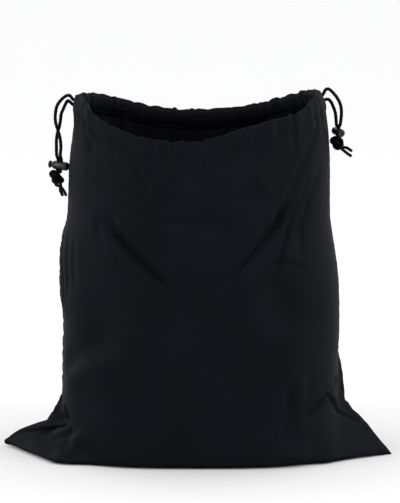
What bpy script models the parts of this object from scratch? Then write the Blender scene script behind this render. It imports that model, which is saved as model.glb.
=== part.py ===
"""Drawcord bag for a helmet: two cloth panels sewn down the sides and along the bottom, a cord
casing folded in at the mouth, two drawcords that run round the whole mouth, and a spring cord lock
and a knot on each. The bag stands open on its flat floor, filled out, with its two bottom corners
reaching out sideways along the floor.

Axes: x to the right, y to the back, z up, the floor at z = 0. Tables are in millimetres and the
objects in metres.
"""

import math

import bmesh
import bpy
import numpy as np
from mathutils import Matrix, Vector

for stale in list(bpy.data.objects):
    bpy.data.objects.remove(stale, do_unlink=True)

MM = 0.001

# ------------------------------------------------------------------ driving sizes, mm

PLAN_CENTRE = (-1.4, 0.0)  # what is taken off x and y, so that z runs up the middle of the bag

CLOTH = 1.2  # wall
SEAM_GAP = 0.3  # between the two panels along every seam
HEM = 20.0  # stitch line up to the rim
CASING_GAP = 4.8  # clear width of the casing, front to back
CASING_FOOT = 2.5  # stitch line up to where the casing opens
CASING_WIDE = 6.5  # height at which it has its full width
CASING_TOP = 18.7
CORNER_NOTCH = 7.0  # from each side seam to the end of the casing, where the cords come out
FOOT_RADIUS = 8.0  # where wall turns into floor
TIP_RADIUS = 2.0  # the same at the bottom corners
TIP_LIFT_LEFT = 3.0
TIP_LIFT_RIGHT = 1.0
SEAM_SHORT = 6.0  # the bottom seam ends this far inside each corner tip

COLUMNS = 32  # across each panel
FLOOR_STEPS = (1.0, 0.7, 0.4, 0.15)  # seam to footprint edge, as a share of the way
FOOT_STEPS = (0.0, 3.0, 9.0)  # heights of the lowest wall rows
WALL_ROWS = 16  # from there to the stitch line

CORD = 3.6  # diameter
CORD_SIDE_RES = 2  # 8 sides
CORD_HIGH = 15.6  # the two cords in each casing: heights above the stitch line
CORD_LOW = 10.2

BARREL = 17.0  # lock barrel length
BARREL_D = 9.2
BORE_D = 6.9
BORE_DEPTH = 14.8
STEM_D = 6.3
SLOT_W = 4.3  # the cords' slot, across the barrel
CORD_PITCH = 3.9  # the two cords in a lock, centre to centre along its axis
CORDS_IN = 6.35  # open end of the barrel to the middle of the two cords
PRESS = 2.5  # how far the button goes in
NECK = 3.4  # button to barrel, at rest
BUTTON = 2.2
BUTTON_D = 8.0
CLEAR = 0.3

# Plan section of the filled body at each height: half-widths to the left and right seam,
# half-depths to front and back, and how square it is (2 is an ellipse).
BODY_COLUMNS = ("z", "left", "right", "front", "back", "square")
BODY = (
    (0, 149, 152, 95, 93, 3.1),
    (60, 149.5, 153, 98, 97, 2.9),
    (110, 149, 154, 103, 102, 2.8),
    (145, 148, 155, 105.5, 104.5, 2.75),
    (188, 151.5, 154, 106, 105.5, 2.7),
    (221, 151, 150.2, 105.5, 105.5, 2.65),
    (244, 147.5, 146.4, 105, 105, 2.6),
    (266, 142, 143.6, 104, 104, 2.6),
    (320, 139.5, 143, 101, 101, 2.6),
    (350, 136, 141.5, 98, 98, 2.6),
    (367, 134, 139.8, 97, 97, 2.6),
    (384, 133.5, 137, 96, 96, 2.6),
    (398, 128.5, 131.5, 95, 95, 2.6),
)

# The two bottom corners: how far the side seam reaches out at each height, the angle between the
# seam's plane and each flank, how far each flank comes forward or back, and how far the seam has
# swung off the middle line.
EAR_COLUMNS = ("z", "reach", "front_angle", "back_angle", "front_depth", "back_depth", "swing")
LEFT_EAR = (
    (0, 215, 53, 50, 80, 62, 10),
    (3, 216, 53, 50, 78, 60, 10),
    (9.5, 210, 52, 50, 68, 55, 9),
    (18, 200, 50, 50, 54, 48, 8),
    (25, 186, 48, 50, 42, 40, 7),
    (31, 171, 46, 48, 33, 32, 6),
    (40, 163, 45, 46, 24, 24, 4),
    (52, 156, 45, 46, 16, 16, 2),
    (62, 149, 45, 46, 10, 10, 0),
    (90, 120, 45, 46, 4, 4, 0),
    (400, 80, 45, 46, 4, 4, 0),
)
RIGHT_EAR = (
    (0, 215, 44, 52, 76, 56, -27),
    (10, 206, 45, 52, 68, 54, -24),
    (30, 189, 46, 50, 52, 48, -17),
    (61, 163, 48, 46, 30, 34, -8),
    (76, 161.5, 50, 46, 22, 26, -5),
    (98, 157, 50, 46, 12, 14, -2),
    (109, 152, 46, 46, 8, 8, 0),
    (130, 130, 46, 46, 4, 4, 0),
    (400, 80, 46, 46, 4, 4, 0),
)

# Height of the rim along each panel, left seam (0) to right seam (1).
RIM_COLUMNS = ("along", "front", "back")
RIM = (
    (0.00, 392, 392),
    (0.10, 393, 392),
    (0.15, 391, 391),
    (0.19, 380, 389),
    (0.26, 368, 383),
    (0.35, 358, 374),
    (0.45, 354, 369),
    (0.50, 355, 369),
    (0.59, 365, 371),
    (0.71, 377, 380),
    (0.78, 382, 388),
    (0.85, 393, 394),
    (0.93, 398, 397),
    (1.00, 397, 397),
)

# Folds and dents: the ends of each one's line, measured across the panel from its middle and up
# from the floor, how deep it is (a ridge is negative), its half-width, and the height of the soft
# roll along its upper side.
FOLD_COLUMNS = ("name", "across_0", "up_0", "across_1", "up_1", "deep", "wide", "roll")
FRONT_FOLDS = (
    ("left_v", -100, 273, -22, 190, 5.0, 9, 3.0),
    ("right_v", 98, 290, 34, 209, 5.0, 9, 3.0),
    ("level_shade", -74, 271, 68, 272, 1.5, 16, 0.0),
    ("upper_left_nick", -68, 319, -54, 297, 2.5, 7, 1.0),
    ("right_level", 84, 226, 120, 216, 3.0, 7, 2.0),
    ("left_dent", -138, 105, -83, 168, 6.0, 26, 0.0),
    ("right_dent", 72, 224, 116, 148, 6.0, 26, 0.0),
    ("lower_right_ridge", 112, 106, 90, 59, -4.0, 11, 0.0),
    ("lower_right_foot", 90, 62, 96, 12, -4.0, 11, 0.0),
    ("right_corner_crease", 164, 101, 152, 77, 5.0, 8, 0.0),
    ("right_corner_fan", 152, 78, 116, 58, 5.0, 9, 1.5),
    ("right_corner_short", 154, 78, 164, 57, 3.0, 6, 0.0),
    ("left_corner_level", -214, 24, -178, 34, 2.5, 6, 0.0),
    ("left_corner_slant", -192, 21, -140, 10, 3.0, 7, 0.0),
    ("left_corner_ridge", -139, 26, -122, 4, -3.0, 8, 0.0),
    ("left_side_1", -196, 250, -188, 190, 2.0, 6, 0.0),
    ("left_side_2", -178, 246, -172, 196, 2.0, 6, 0.0),
)
BACK_FOLDS = (
    ("upper_sag", -96, 262, 10, 214, 4.0, 13, 2.5),
    ("lower_sag", 4, 196, 108, 236, 4.0, 13, 2.5),
    ("left_dent", -132, 118, -70, 172, 5.0, 26, 0.0),
    ("right_dent", 68, 160, 128, 104, 5.0, 26, 0.0),
    ("left_corner_crease", -166, 70, -124, 40, 4.0, 9, 1.5),
    ("right_corner_crease", 168, 96, 126, 52, 4.0, 9, 1.5),
    ("foot_ridge", -80, 74, -92, 12, -3.5, 12, 0.0),
    ("right_foot_ridge", 84, 60, 94, 12, -3.0, 12, 0.0),
)

# Free stretches of the drawcords, from the corner of the mouth to just above the lock.
ROUTE_COLUMNS = ("x", "y", "z")
LEFT_FRONT_STRAND = (
    (-131.8, -3.6, 387.6),
    (-135.4, -2.6, 389.4),
    (-139.2, -3.4, 393.8),
    (-143.3, -7.0, 393.3),
    (-148.0, -11.0, 389.6),
    (-152.3, -13.0, 383.3),
    (-154.1, -14.5, 374.3),
    (-153.8, -16.0, 366.3),
    (-151.6, -17.2, 358.3),
    (-149.1, -17.6, 349.1),
    (-148.3, -17.0, 339.2),
    (-149.1, -16.0, 329.9),
)
LEFT_BACK_STRAND = (
    (-131.9, 3.6, 382.2),
    (-135.8, 2.5, 383.4),
    (-139.4, 1.8, 386.6),
    (-141.4, -1.0, 387.9),
    (-143.2, -3.8, 385.4),
    (-145.4, -6.9, 380.6),
    (-148.0, -9.6, 374.3),
    (-148.9, -11.2, 366.9),
    (-150.2, -12.0, 360.4),
    (-152.2, -12.3, 353.9),
    (-153.3, -12.6, 346.4),
    (-153.4, -13.0, 337.7),
    (-153.1, -13.4, 329.8),
)
RIGHT_FRONT_STRAND = (
    (133.5, -3.6, 387.0),
    (137.3, -2.6, 388.9),
    (141.0, -2.6, 389.6),
    (143.8, -2.9, 387.4),
    (146.4, -4.0, 382.4),
    (148.8, -6.0, 375.6),
    (149.6, -8.2, 368.2),
    (150.2, -9.4, 361.8),
)
RIGHT_BACK_STRAND = (
    (132.2, 3.6, 391.6),
    (135.9, 2.8, 394.6),
    (138.4, 1.8, 399.4),
    (141.4, -0.6, 400.6),
    (145.4, -3.4, 397.8),
    (150.3, -6.5, 392.1),
    (154.1, -9.0, 384.6),
    (155.2, -11.0, 376.6),
    (154.7, -12.3, 369.2),
    (153.6, -13.2, 362.2),
)

# The locks: where the middle of the two cords lies, and which way the closed end of the barrel
# points (heading from +x towards -y, and dip below level).
LOCK_COLUMNS = ("side", "x", "y", "z", "heading", "dip")
LOCKS = (
    ("left", -150.4, -15.0, 318.9, 20, 5.5),
    ("right", 151.9, -11.5, 354.9, 75, 2),
)

# Each knot is a bunch of rolls of cord: centre from the knot's middle, and half-sizes.
KNOT_COLUMNS = ("x", "y", "z", "half_x", "half_y", "half_z")
LEFT_KNOT_AT = (-153.6, -14.4, 305.6)
LEFT_KNOT = (
    (0.0, 0.0, 0.5, 4.6, 4.0, 6.6),
    (-3.2, -0.8, 3.9, 3.4, 3.4, 2.9),
    (3.6, 0.6, 0.8, 3.0, 3.6, 4.2),
    (-3.4, 0.6, -3.0, 3.4, 3.4, 4.4),
    (0.6, -2.2, -1.6, 3.6, 2.4, 3.4),
)
LEFT_TAILS = (
    ((-152.6, -15.0, 301.0), (-150.6, -18.0, 294.6), (-147.6, -21.4, 289.0), (-146.8, -22.4, 286.4)),
    ((-151.6, -16.4, 302.0), (-147.8, -20.0, 295.6), (-144.0, -23.6, 290.0), (-142.6, -24.8, 286.9)),
)
RIGHT_KNOT_AT = (151.3, -11.8, 343.2)
RIGHT_KNOT = (
    (0.0, 0.0, 0.4, 4.6, 4.0, 4.4),
    (-3.6, -0.6, 0.6, 3.2, 3.2, 3.6),
    (3.4, 0.4, 1.6, 3.4, 3.4, 3.0),
    (2.6, -1.2, -2.2, 3.4, 3.0, 2.8),
)
RIGHT_TAILS = (
    ((153.0, -12.6, 342.0), (158.4, -13.4, 339.6), (163.2, -14.0, 336.8), (166.4, -14.4, 334.8)),
    ((152.6, -13.4, 340.4), (157.6, -14.6, 335.6), (162.4, -15.6, 331.6), (165.8, -16.0, 329.4)),
)


# ------------------------------------------------------------------ curves and tables


def curve_through(xs, ys, x):
    """A smooth curve through the points that adds no bump between them."""
    xs, ys = np.asarray(xs, float), np.asarray(ys, float)
    step = np.diff(xs)
    slope = np.diff(ys) / step
    tangent = np.zeros(len(ys))
    tangent[0], tangent[-1] = slope[0], slope[-1]
    for k in range(1, len(ys) - 1):
        if slope[k - 1] * slope[k] > 0:
            before, after = 2 * step[k] + step[k - 1], step[k] + 2 * step[k - 1]
            tangent[k] = (before + after) / (before / slope[k - 1] + after / slope[k])
    x = np.clip(x, xs[0], xs[-1])
    k = np.clip(np.searchsorted(xs, x, side="right") - 1, 0, len(step) - 1)
    t = (x - xs[k]) / step[k]
    return (
        (1 + 2 * t) * (1 - t) ** 2 * ys[k]
        + t * (1 - t) ** 2 * step[k] * tangent[k]
        + t * t * (3 - 2 * t) * ys[k + 1]
        + t * t * (t - 1) * step[k] * tangent[k + 1]
    )


def read(names, rows, name, at):
    column = names.index(name)
    return curve_through([r[0] for r in rows], [r[column] for r in rows], at)


def smooth_max(a, b, width):
    near = np.clip(1 - np.abs(a - b) / width, 0, 1)
    return np.maximum(a, b) + near * near * width / 4


def smooth_step(t):
    t = np.clip(t, 0, 1)
    return t * t * (3 - 2 * t)


# ------------------------------------------------------------------ the cloth's outer face


def half_section(z, side, count=721):
    """Plan outline of one panel at height z, from the left seam to the right seam."""
    turn = np.linspace(0, math.pi, count)
    c, s = -np.cos(turn), np.sin(turn)
    wide = np.where(c < 0, read(BODY_COLUMNS, BODY, "left", z), read(BODY_COLUMNS, BODY, "right", z))
    deep = read(BODY_COLUMNS, BODY, side, z)
    n = read(BODY_COLUMNS, BODY, "square", z)
    r = ((np.abs(c) / wide) ** n + (s / deep) ** n) ** (-1 / n)
    swing = 0 * turn
    for ear, angle in ((LEFT_EAR, turn), (RIGHT_EAR, math.pi - turn)):
        reach = read(EAR_COLUMNS, ear, "reach", z)
        flank_angle = math.radians(float(read(EAR_COLUMNS, ear, side + "_angle", z)))
        depth = read(EAR_COLUMNS, ear, side + "_depth", z)
        flank = reach * np.sin(flank_angle) / np.sin(np.clip(flank_angle + angle, 0.01, math.pi - 0.3))
        face = depth / np.maximum(np.sin(angle), 0.02)
        wedge = -smooth_max(-flank, -face, 16)
        here = angle < math.pi / 2
        r = np.where(here, smooth_max(r, wedge, 10), r)
        out = np.clip((np.abs(c) * r - 120) / 90, 0, 1) ** 1.5
        swing = swing + np.where(here, read(EAR_COLUMNS, ear, "swing", z) * out, 0)
    return np.stack([c * r, (-s if side == "front" else s) * r + swing], 1)


LEVELS = np.concatenate([np.arange(0, 80, 2.0), np.arange(80, 412, 4.0)])
ALONG = 481


def level_grid(side):
    """Every level's outline, evenly spaced along the cloth."""
    grid = np.zeros((len(LEVELS), ALONG, 2))
    for i, z in enumerate(LEVELS):
        outline = half_section(min(z, BODY[-1][0]), side)
        run = np.concatenate([[0], np.cumsum(np.hypot(*np.diff(outline, axis=0).T))])
        even = np.linspace(0, run[-1], ALONG)
        grid[i] = np.stack([np.interp(even, run, outline[:, k]) for k in (0, 1)], 1)
    return grid


GRIDS = {side: level_grid(side) for side in ("front", "back")}


def plan_point(side, along, z):
    grid = GRIDS[side]
    level = np.clip(np.interp(z, LEVELS, np.arange(len(LEVELS))), 0, len(LEVELS) - 1.001)
    place = np.clip(np.clip(along, 0, 1) * (ALONG - 1), 0, ALONG - 1.001)
    a, b = level.astype(int), place.astype(int)
    fa, fb = (level - a)[..., None], (place - b)[..., None]
    low = grid[a, b] * (1 - fb) + grid[a, b + 1] * fb
    high = grid[a + 1, b] * (1 - fb) + grid[a + 1, b + 1] * fb
    return low * (1 - fa) + high * fa


def plan_normal(side, along, z):
    run = plan_point(side, along + 0.004, z) - plan_point(side, along - 0.004, z)
    n = np.stack([run[..., 1], -run[..., 0]], -1)
    n /= np.linalg.norm(n, axis=-1, keepdims=True)
    return n if side == "front" else -n


def rim_height(side, along):
    return read(RIM_COLUMNS, RIM, side, along)


def fold_depth(side, along, z):
    """How far the folds push the cloth in, in mm."""
    across = (along - 0.5) * 430
    total = 0 * across
    for _, x0, z0, x1, z1, deep, wide, roll in FRONT_FOLDS if side == "front" else BACK_FOLDS:
        dx, dz = x1 - x0, z1 - z0
        length = math.hypot(dx, dz)
        t = ((across - x0) * dx + (z - z0) * dz) / length**2
        off = ((z - z0) * dx - (across - x0) * dz) / length
        off = off if dx >= 0 else -off
        fade = smooth_step(t * length / (1.2 * wide) + 0.5) * smooth_step((1 - t) * length / (1.2 * wide) + 0.5)
        total = total + fade * (
            deep * np.exp(-((off / wide) ** 2)) - roll * np.exp(-(((off - 1.7 * wide) / (1.3 * wide)) ** 2))
        )
    above_floor = smooth_step((z - 2) / 10)
    below_hem = smooth_step((rim_height(side, along) - HEM - z) / 16)
    off_seam = smooth_step(np.minimum(along, 1 - along) / 0.03)
    return total * above_floor * below_hem * off_seam


def outer_face(side, along, z):
    """Point of the cloth's outer face, at a share of the way along and a height."""
    along, z = np.broadcast_arrays(np.asarray(along, float), np.asarray(z, float))
    n = plan_normal(side, along, z)
    edge = np.minimum(along, 1 - along)
    radius = TIP_RADIUS + (FOOT_RADIUS - TIP_RADIUS) * np.clip(edge / 0.12, 0, 1)
    below = np.clip(radius - z, 0, None)
    inset = radius - np.sqrt(np.clip(radius**2 - below**2, 0, None))
    # at a seam the two panels' feet curl in along the seam's own plane, so that they still meet
    curl = n * np.stack([np.ones_like(edge), smooth_step(edge / 0.03)], -1)
    curl /= np.linalg.norm(curl, axis=-1, keepdims=True)
    p = plan_point(side, along, z) - n * fold_depth(side, along, z)[..., None]
    p = p - curl * inset[..., None]
    x = p[..., 0]
    lift = TIP_LIFT_LEFT * np.clip((-x - 188) / 26, 0, 1) ** 1.5
    lift = lift + TIP_LIFT_RIGHT * np.clip((x - 188) / 26, 0, 1) ** 1.5
    return np.concatenate([p, (z + lift)[..., None]], -1)


def seam_point(along):
    """The bottom seam, straight along the floor from corner to corner."""
    tips = [outer_face("front", np.array([a]), np.array([0.0]))[0] for a in (0.0, 1.0)]
    left, right = tips[0] + (SEAM_SHORT, 0, 0), tips[1] - (SEAM_SHORT, 0, 0)
    p = left + (right - left) * np.asarray(along)[..., None]
    x = p[..., 0]
    p[..., 2] = TIP_LIFT_LEFT * np.clip((-x - 188) / 26, 0, 1) ** 1.5
    p[..., 2] += TIP_LIFT_RIGHT * np.clip((x - 188) / 26, 0, 1) ** 1.5
    return p


# ------------------------------------------------------------------ the panels as solids

HEM_ROWS = (0.0, CASING_FOOT, CASING_WIDE, 12.6, CASING_TOP, HEM)
HEM_SWELL = (0.0, 0.3, 1.0, 1.2, 0.9, 0.2)  # how far the casing stands out
CASING = (0.0, 0.0, CASING_GAP, CASING_GAP, CASING_GAP, CASING_GAP - 1.2)


def outer_rows(side):
    """Rows of points on the outer face, from the bottom seam up to the rim: (rows, columns, 3)."""
    along = np.linspace(0, 1, COLUMNS + 1)
    rim = rim_height(side, along)
    stitch = rim - HEM
    edge = outer_face(side, along, 0 * along)
    rows = [edge + (seam_point(along) - edge) * share for share in FLOOR_STEPS]
    for z in FOOT_STEPS:
        rows.append(outer_face(side, along, z + 0 * along))
    for k in range(1, WALL_ROWS):
        share = k / WALL_ROWS
        rows.append(outer_face(side, along, FOOT_STEPS[-1] + (stitch - FOOT_STEPS[-1]) * share))
    for k, up in enumerate(HEM_ROWS):
        notch = CORNER_NOTCH / 390 * (0.35, 1, 1, 1, 1, 1)[k]
        held = notch + along * (1 - 2 * notch)
        top = rim_height(side, held) - HEM + up
        p = outer_face(side, held, top)
        p[..., :2] += plan_normal(side, held, top) * HEM_SWELL[k]
        rows.append(p)
    return np.array(rows)


def row_normals(front, back):
    """Outward normals of both panels' rows. The two meet along the seams, so those share theirs."""
    last = front.shape[1] - 1
    first_hem = front.shape[0] - len(HEM_ROWS)
    sums = {"front": np.zeros_like(front), "back": np.zeros_like(back)}
    for side, rows, sign in (("front", front, 1), ("back", back, -1)):
        a, b, c, d = rows[:-1, :-1], rows[:-1, 1:], rows[1:, 1:], rows[1:, :-1]
        n = sign * np.cross(c - a, d - b)
        for i, j in ((0, 0), (0, 1), (1, 0), (1, 1)):
            sums[side][i : i + n.shape[0], j : j + n.shape[1]] += n
    for column in (0, last):
        both = sums["front"][:first_hem, column] + sums["back"][:first_hem, column]
        both[:, 1] = 0
        sums["front"][:first_hem, column] = both
        sums["back"][:first_hem, column] = both
    for side in sums:
        sums[side][0] = (0, 0, -1)
        sums[side][first_hem:] *= (1, 1, 0.4)  # the casing's layers stay level with each other
        sums[side] /= np.linalg.norm(sums[side], axis=-1, keepdims=True)
    return sums["front"], sums["back"]


def cross_section(rows, normals, column):
    """One column's section: its points, and the quads between them as index lists."""
    first_hem = len(rows) - len(HEM_ROWS)
    points, cells = [], []

    def add(row, inward):
        points.append(rows[row, column] - normals[row, column] * inward)
        return len(points) - 1

    wall = [(add(r, 0), add(r, CLOTH)) for r in range(len(rows))]
    for (a, b), (c, d) in zip(wall, wall[1:]):
        cells.append((a, b, d, c))
    flap = []
    for k, gap in enumerate(CASING):
        row = first_hem + k
        near = wall[row][1] if gap == 0 else add(row, CLOTH + gap)
        flap.append((near, add(row, 2 * CLOTH + gap)))
    for (a, b), (c, d) in zip(flap, flap[1:]):
        cells.append((a, b, d, c))
    cells.append((wall[-2][1], flap[-2][0], flap[-1][0], wall[-1][1]))
    return points, cells


def panel_mesh(name, rows, normals):
    vertices, sections = [], []
    for column in range(rows.shape[1]):
        points, cells = cross_section(rows, normals, column)
        sections.append([len(vertices) + i for i in range(len(points))])
        vertices.extend(points)
    faces = {}

    def toggle(loop):
        key = tuple(sorted(loop))
        if key in faces:
            del faces[key]
        else:
            faces[key] = loop

    for near, far in zip(sections, sections[1:]):
        for cell in cells:
            toggle([near[i] for i in cell])
            toggle([far[i] for i in reversed(cell)])
            for i, j in zip(cell, cell[1:] + cell[:1]):
                toggle([near[j], near[i], far[i], far[j]])
    mesh = bpy.data.meshes.new(name)
    offset = np.array([*PLAN_CENTRE, 0.0])
    mesh.from_pydata([tuple((p - offset) * MM) for p in vertices], [], list(faces.values()))
    mesh.update()
    shape = bmesh.new()
    shape.from_mesh(mesh)
    bmesh.ops.triangulate(shape, faces=shape.faces[:], quad_method="SHORT_EDGE")
    bmesh.ops.recalc_face_normals(shape, faces=shape.faces[:])
    if shape.calc_volume(signed=True) < 0:
        bmesh.ops.reverse_faces(shape, faces=shape.faces[:])
    shape.to_mesh(mesh)
    shape.free()
    return mesh


# ------------------------------------------------------------------ objects and finishes


def finish(name, colour, rough, metal=0.0):
    material = bpy.data.materials.new(name)
    material.use_nodes = True
    shader = material.node_tree.nodes["Principled BSDF"]
    shader.inputs["Base Color"].default_value = (*colour, 1)
    shader.inputs["Roughness"].default_value = rough
    shader.inputs["Metallic"].default_value = metal
    return material


def place(name, data, material, parent=None, smooth=True):
    obj = bpy.data.objects.new(name, data)
    bpy.context.scene.collection.objects.link(obj)
    data.materials.append(material)
    if smooth and isinstance(data, bpy.types.Mesh):
        data.shade_smooth()
        data.set_sharp_from_angle(angle=math.radians(40))
    if parent is not None:
        obj.parent = parent
    return obj


def helper(obj):
    """A shape that only cuts or joins another."""
    obj.hide_render = True
    obj.display_type = "WIRE"
    return obj


def combine(obj, other, operation):
    modifier = obj.modifiers.new(other.name, "BOOLEAN")
    modifier.operation = operation
    modifier.solver = "EXACT"
    modifier.object = other


def turned(name, profile, sides=24):
    """A solid turned about x from (x, radius) pairs that start and end on the axis."""
    shape = bmesh.new()
    rings = []
    for x, r in profile:
        if r == 0:
            rings.append([shape.verts.new((x * MM, 0, 0))])
            continue
        ring = []
        for k in range(sides):
            a = 2 * math.pi * k / sides
            ring.append(shape.verts.new((x * MM, r * MM * math.cos(a), r * MM * math.sin(a))))
        rings.append(ring)
    for a, b in zip(rings, rings[1:]):
        for k in range(sides):
            loop = [a[k % len(a)], a[(k + 1) % len(a)], b[(k + 1) % len(b)], b[k % len(b)]]
            loop = [v for i, v in enumerate(loop) if v not in loop[:i]]
            shape.faces.new(loop)
    bmesh.ops.recalc_face_normals(shape, faces=shape.faces[:])
    mesh = bpy.data.meshes.new(name)
    shape.to_mesh(mesh)
    shape.free()
    return mesh


def slot_mesh(name, start, end, width, height):
    """A straight slot's cutter along x with round ends, running right through in z."""
    shape = bmesh.new()
    r = width / 2
    outline = []
    for centre, first in ((end - r, -90), (start + r, 90)):
        for k in range(7):
            a = math.radians(first + 30 * k)
            outline.append((centre + r * math.cos(a), r * math.sin(a)))
    low = [shape.verts.new((x * MM, y * MM, -height * MM / 2)) for x, y in outline]
    high = [shape.verts.new((x * MM, y * MM, height * MM / 2)) for x, y in outline]
    shape.faces.new(low)
    shape.faces.new(high)
    for k in range(len(low)):
        n = (k + 1) % len(low)
        shape.faces.new([low[k], low[n], high[n], high[k]])
    bmesh.ops.recalc_face_normals(shape, faces=shape.faces[:])
    mesh = bpy.data.meshes.new(name)
    shape.to_mesh(mesh)
    shape.free()
    return mesh


def smooth_route(points, spacing):
    """Points at an even spacing along one smooth curve through the given ones."""
    points = np.asarray(points, float)
    run = np.concatenate([[0], np.cumsum(np.linalg.norm(np.diff(points, axis=0), axis=1) ** 0.5)])
    tangent = np.zeros_like(points)
    tangent[1:-1] = (points[2:] - points[:-2]) / (run[2:] - run[:-2])[:, None]
    tangent[0] = 2 * (points[1] - points[0]) / (run[1] - run[0]) - tangent[1]
    tangent[-1] = 2 * (points[-1] - points[-2]) / (run[-1] - run[-2]) - tangent[-2]
    fine = []
    for k in range(len(points) - 1):
        h = run[k + 1] - run[k]
        for t in np.linspace(0, 1, 24, endpoint=False):
            fine.append(
                (1 + 2 * t) * (1 - t) ** 2 * points[k]
                + t * (1 - t) ** 2 * h * tangent[k]
                + t * t * (3 - 2 * t) * points[k + 1]
                + t * t * (t - 1) * h * tangent[k + 1]
            )
    fine = np.array([*fine, points[-1]])
    length = np.concatenate([[0], np.cumsum(np.linalg.norm(np.diff(fine, axis=0), axis=1))])
    even = np.linspace(0, length[-1], max(2, round(length[-1] / spacing) + 1))
    return np.stack([np.interp(even, length, fine[:, k]) for k in range(3)], 1)


def cord_object(name, points, material):
    data = bpy.data.curves.new(name, "CURVE")
    data.dimensions = "3D"
    data.bevel_depth = CORD / 2 * MM
    data.bevel_resolution = CORD_SIDE_RES
    data.use_fill_caps = True
    data.fill_mode = "FULL"
    data.twist_mode = "MINIMUM"
    spline = data.splines.new("POLY")
    spline.points.add(len(points) - 1)
    offset = np.array([*PLAN_CENTRE, 0.0])
    for at, p in zip(spline.points, points):
        at.co = (*((p - offset) * MM), 1)
    spline.use_smooth = True
    return place(name, data, material)


def swept_mesh(name, points, radius, sides=10):
    """A closed round tube along the points, with slightly rounded ends."""
    points = [Vector(p) for p in points]
    first = (points[0] - points[1]).normalized() * radius * 0.3
    last = (points[-1] - points[-2]).normalized() * radius * 0.3
    stations = [(points[0] + first, 0.7), *((p, 1.0) for p in points), (points[-1] + last, 0.7)]
    shape = bmesh.new()
    rings = []
    side = Vector((0.31, 0.9, 0.17))
    for i, (p, share) in enumerate(stations):
        before, after = stations[max(i - 1, 0)][0], stations[min(i + 1, len(stations) - 1)][0]
        along = (after - before).normalized()
        side = (side - along * side.dot(along)).normalized()
        other = along.cross(side)
        ring = []
        for k in range(sides):
            a = 2 * math.pi * k / sides
            v = p + (side * math.cos(a) + other * math.sin(a)) * radius * share
            ring.append(shape.verts.new(v * MM))
        rings.append(ring)
    for a, b in zip(rings, rings[1:]):
        for k in range(sides):
            shape.faces.new([a[k], a[(k + 1) % sides], b[(k + 1) % sides], b[k]])
    shape.faces.new(rings[0])
    shape.faces.new(rings[-1])
    bmesh.ops.recalc_face_normals(shape, faces=shape.faces[:])
    mesh = bpy.data.meshes.new(name)
    shape.to_mesh(mesh)
    shape.free()
    return mesh


def roll_mesh(name, half):
    shape = bmesh.new()
    bmesh.ops.create_uvsphere(shape, u_segments=12, v_segments=8, radius=1)
    bmesh.ops.scale(shape, vec=[h * MM for h in half], verts=shape.verts[:])
    mesh = bpy.data.meshes.new(name)
    shape.to_mesh(mesh)
    shape.free()
    return mesh


# ------------------------------------------------------------------ cloth

cloth = finish("black_cloth", (0.012, 0.013, 0.017), 0.72)
cord_finish = finish("black_cord", (0.014, 0.014, 0.017), 0.62)
gloss = finish("dark_grey_gloss_plastic", (0.03, 0.031, 0.035), 0.25)

front_rows, back_rows = outer_rows("front"), outer_rows("back")
front_normals, back_normals = row_normals(front_rows, back_rows)
hem_start = len(front_rows) - len(HEM_ROWS)
for rows, sign in ((front_rows, -1), (back_rows, 1)):
    rows[0, :, 1] += sign * SEAM_GAP / 2
    for column in (0, COLUMNS):
        rows[1:hem_start, column, 1] += sign * SEAM_GAP / 2
place("front_panel", panel_mesh("front_panel", front_rows, front_normals), cloth)
place("back_panel", panel_mesh("back_panel", back_rows, back_normals), cloth)


# ------------------------------------------------------------------ drawcords, locks and knots


def casing_run(rows, normals, height):
    """The middle of the casing at a height above the stitch line, left end to right end."""
    lower = hem_start + 2 if height < HEM_ROWS[3] else hem_start + 3
    share = (height - HEM_ROWS[lower - hem_start]) / (
        HEM_ROWS[lower - hem_start + 1] - HEM_ROWS[lower - hem_start]
    )
    inward = CLOTH + CASING_GAP / 2
    low, high = (rows[r] - normals[r] * inward for r in (lower, lower + 1))
    return low + (high - low) * share


def lock_frame(row):
    """The lock's own frame: x along its axis towards the closed end, z up the cords."""
    _, x, y, z, heading, dip = row
    heading, dip = math.radians(heading), math.radians(dip)
    axis = Vector(
        (math.cos(heading) * math.cos(dip), -math.sin(heading) * math.cos(dip), -math.sin(dip))
    )
    up = (Vector((0, 0, 1)) - axis * axis.z).normalized()
    across = up.cross(axis)
    middle = Vector((x - PLAN_CENTRE[0], y - PLAN_CENTRE[1], z)) * MM
    turn = Matrix((axis, across, up)).transposed().to_4x4()
    return Matrix.Translation(middle) @ turn, axis, up


def in_lock(row, along, rise):
    frame, axis, up = lock_frame(row)
    p = np.array(row[1:4]) + np.array(axis) * along + np.array(up) * rise
    return p


strands = {
    "left": (LEFT_FRONT_STRAND, LEFT_BACK_STRAND, (0.5, -0.5)),
    "right": (RIGHT_FRONT_STRAND, RIGHT_BACK_STRAND, (-0.5, 0.5)),
}
knots = {
    "left": (LEFT_KNOT_AT, LEFT_KNOT, LEFT_TAILS),
    "right": (RIGHT_KNOT_AT, RIGHT_KNOT, RIGHT_TAILS),
}
BELOW_LOCK = BARREL_D / 2 + 0.8

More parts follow.
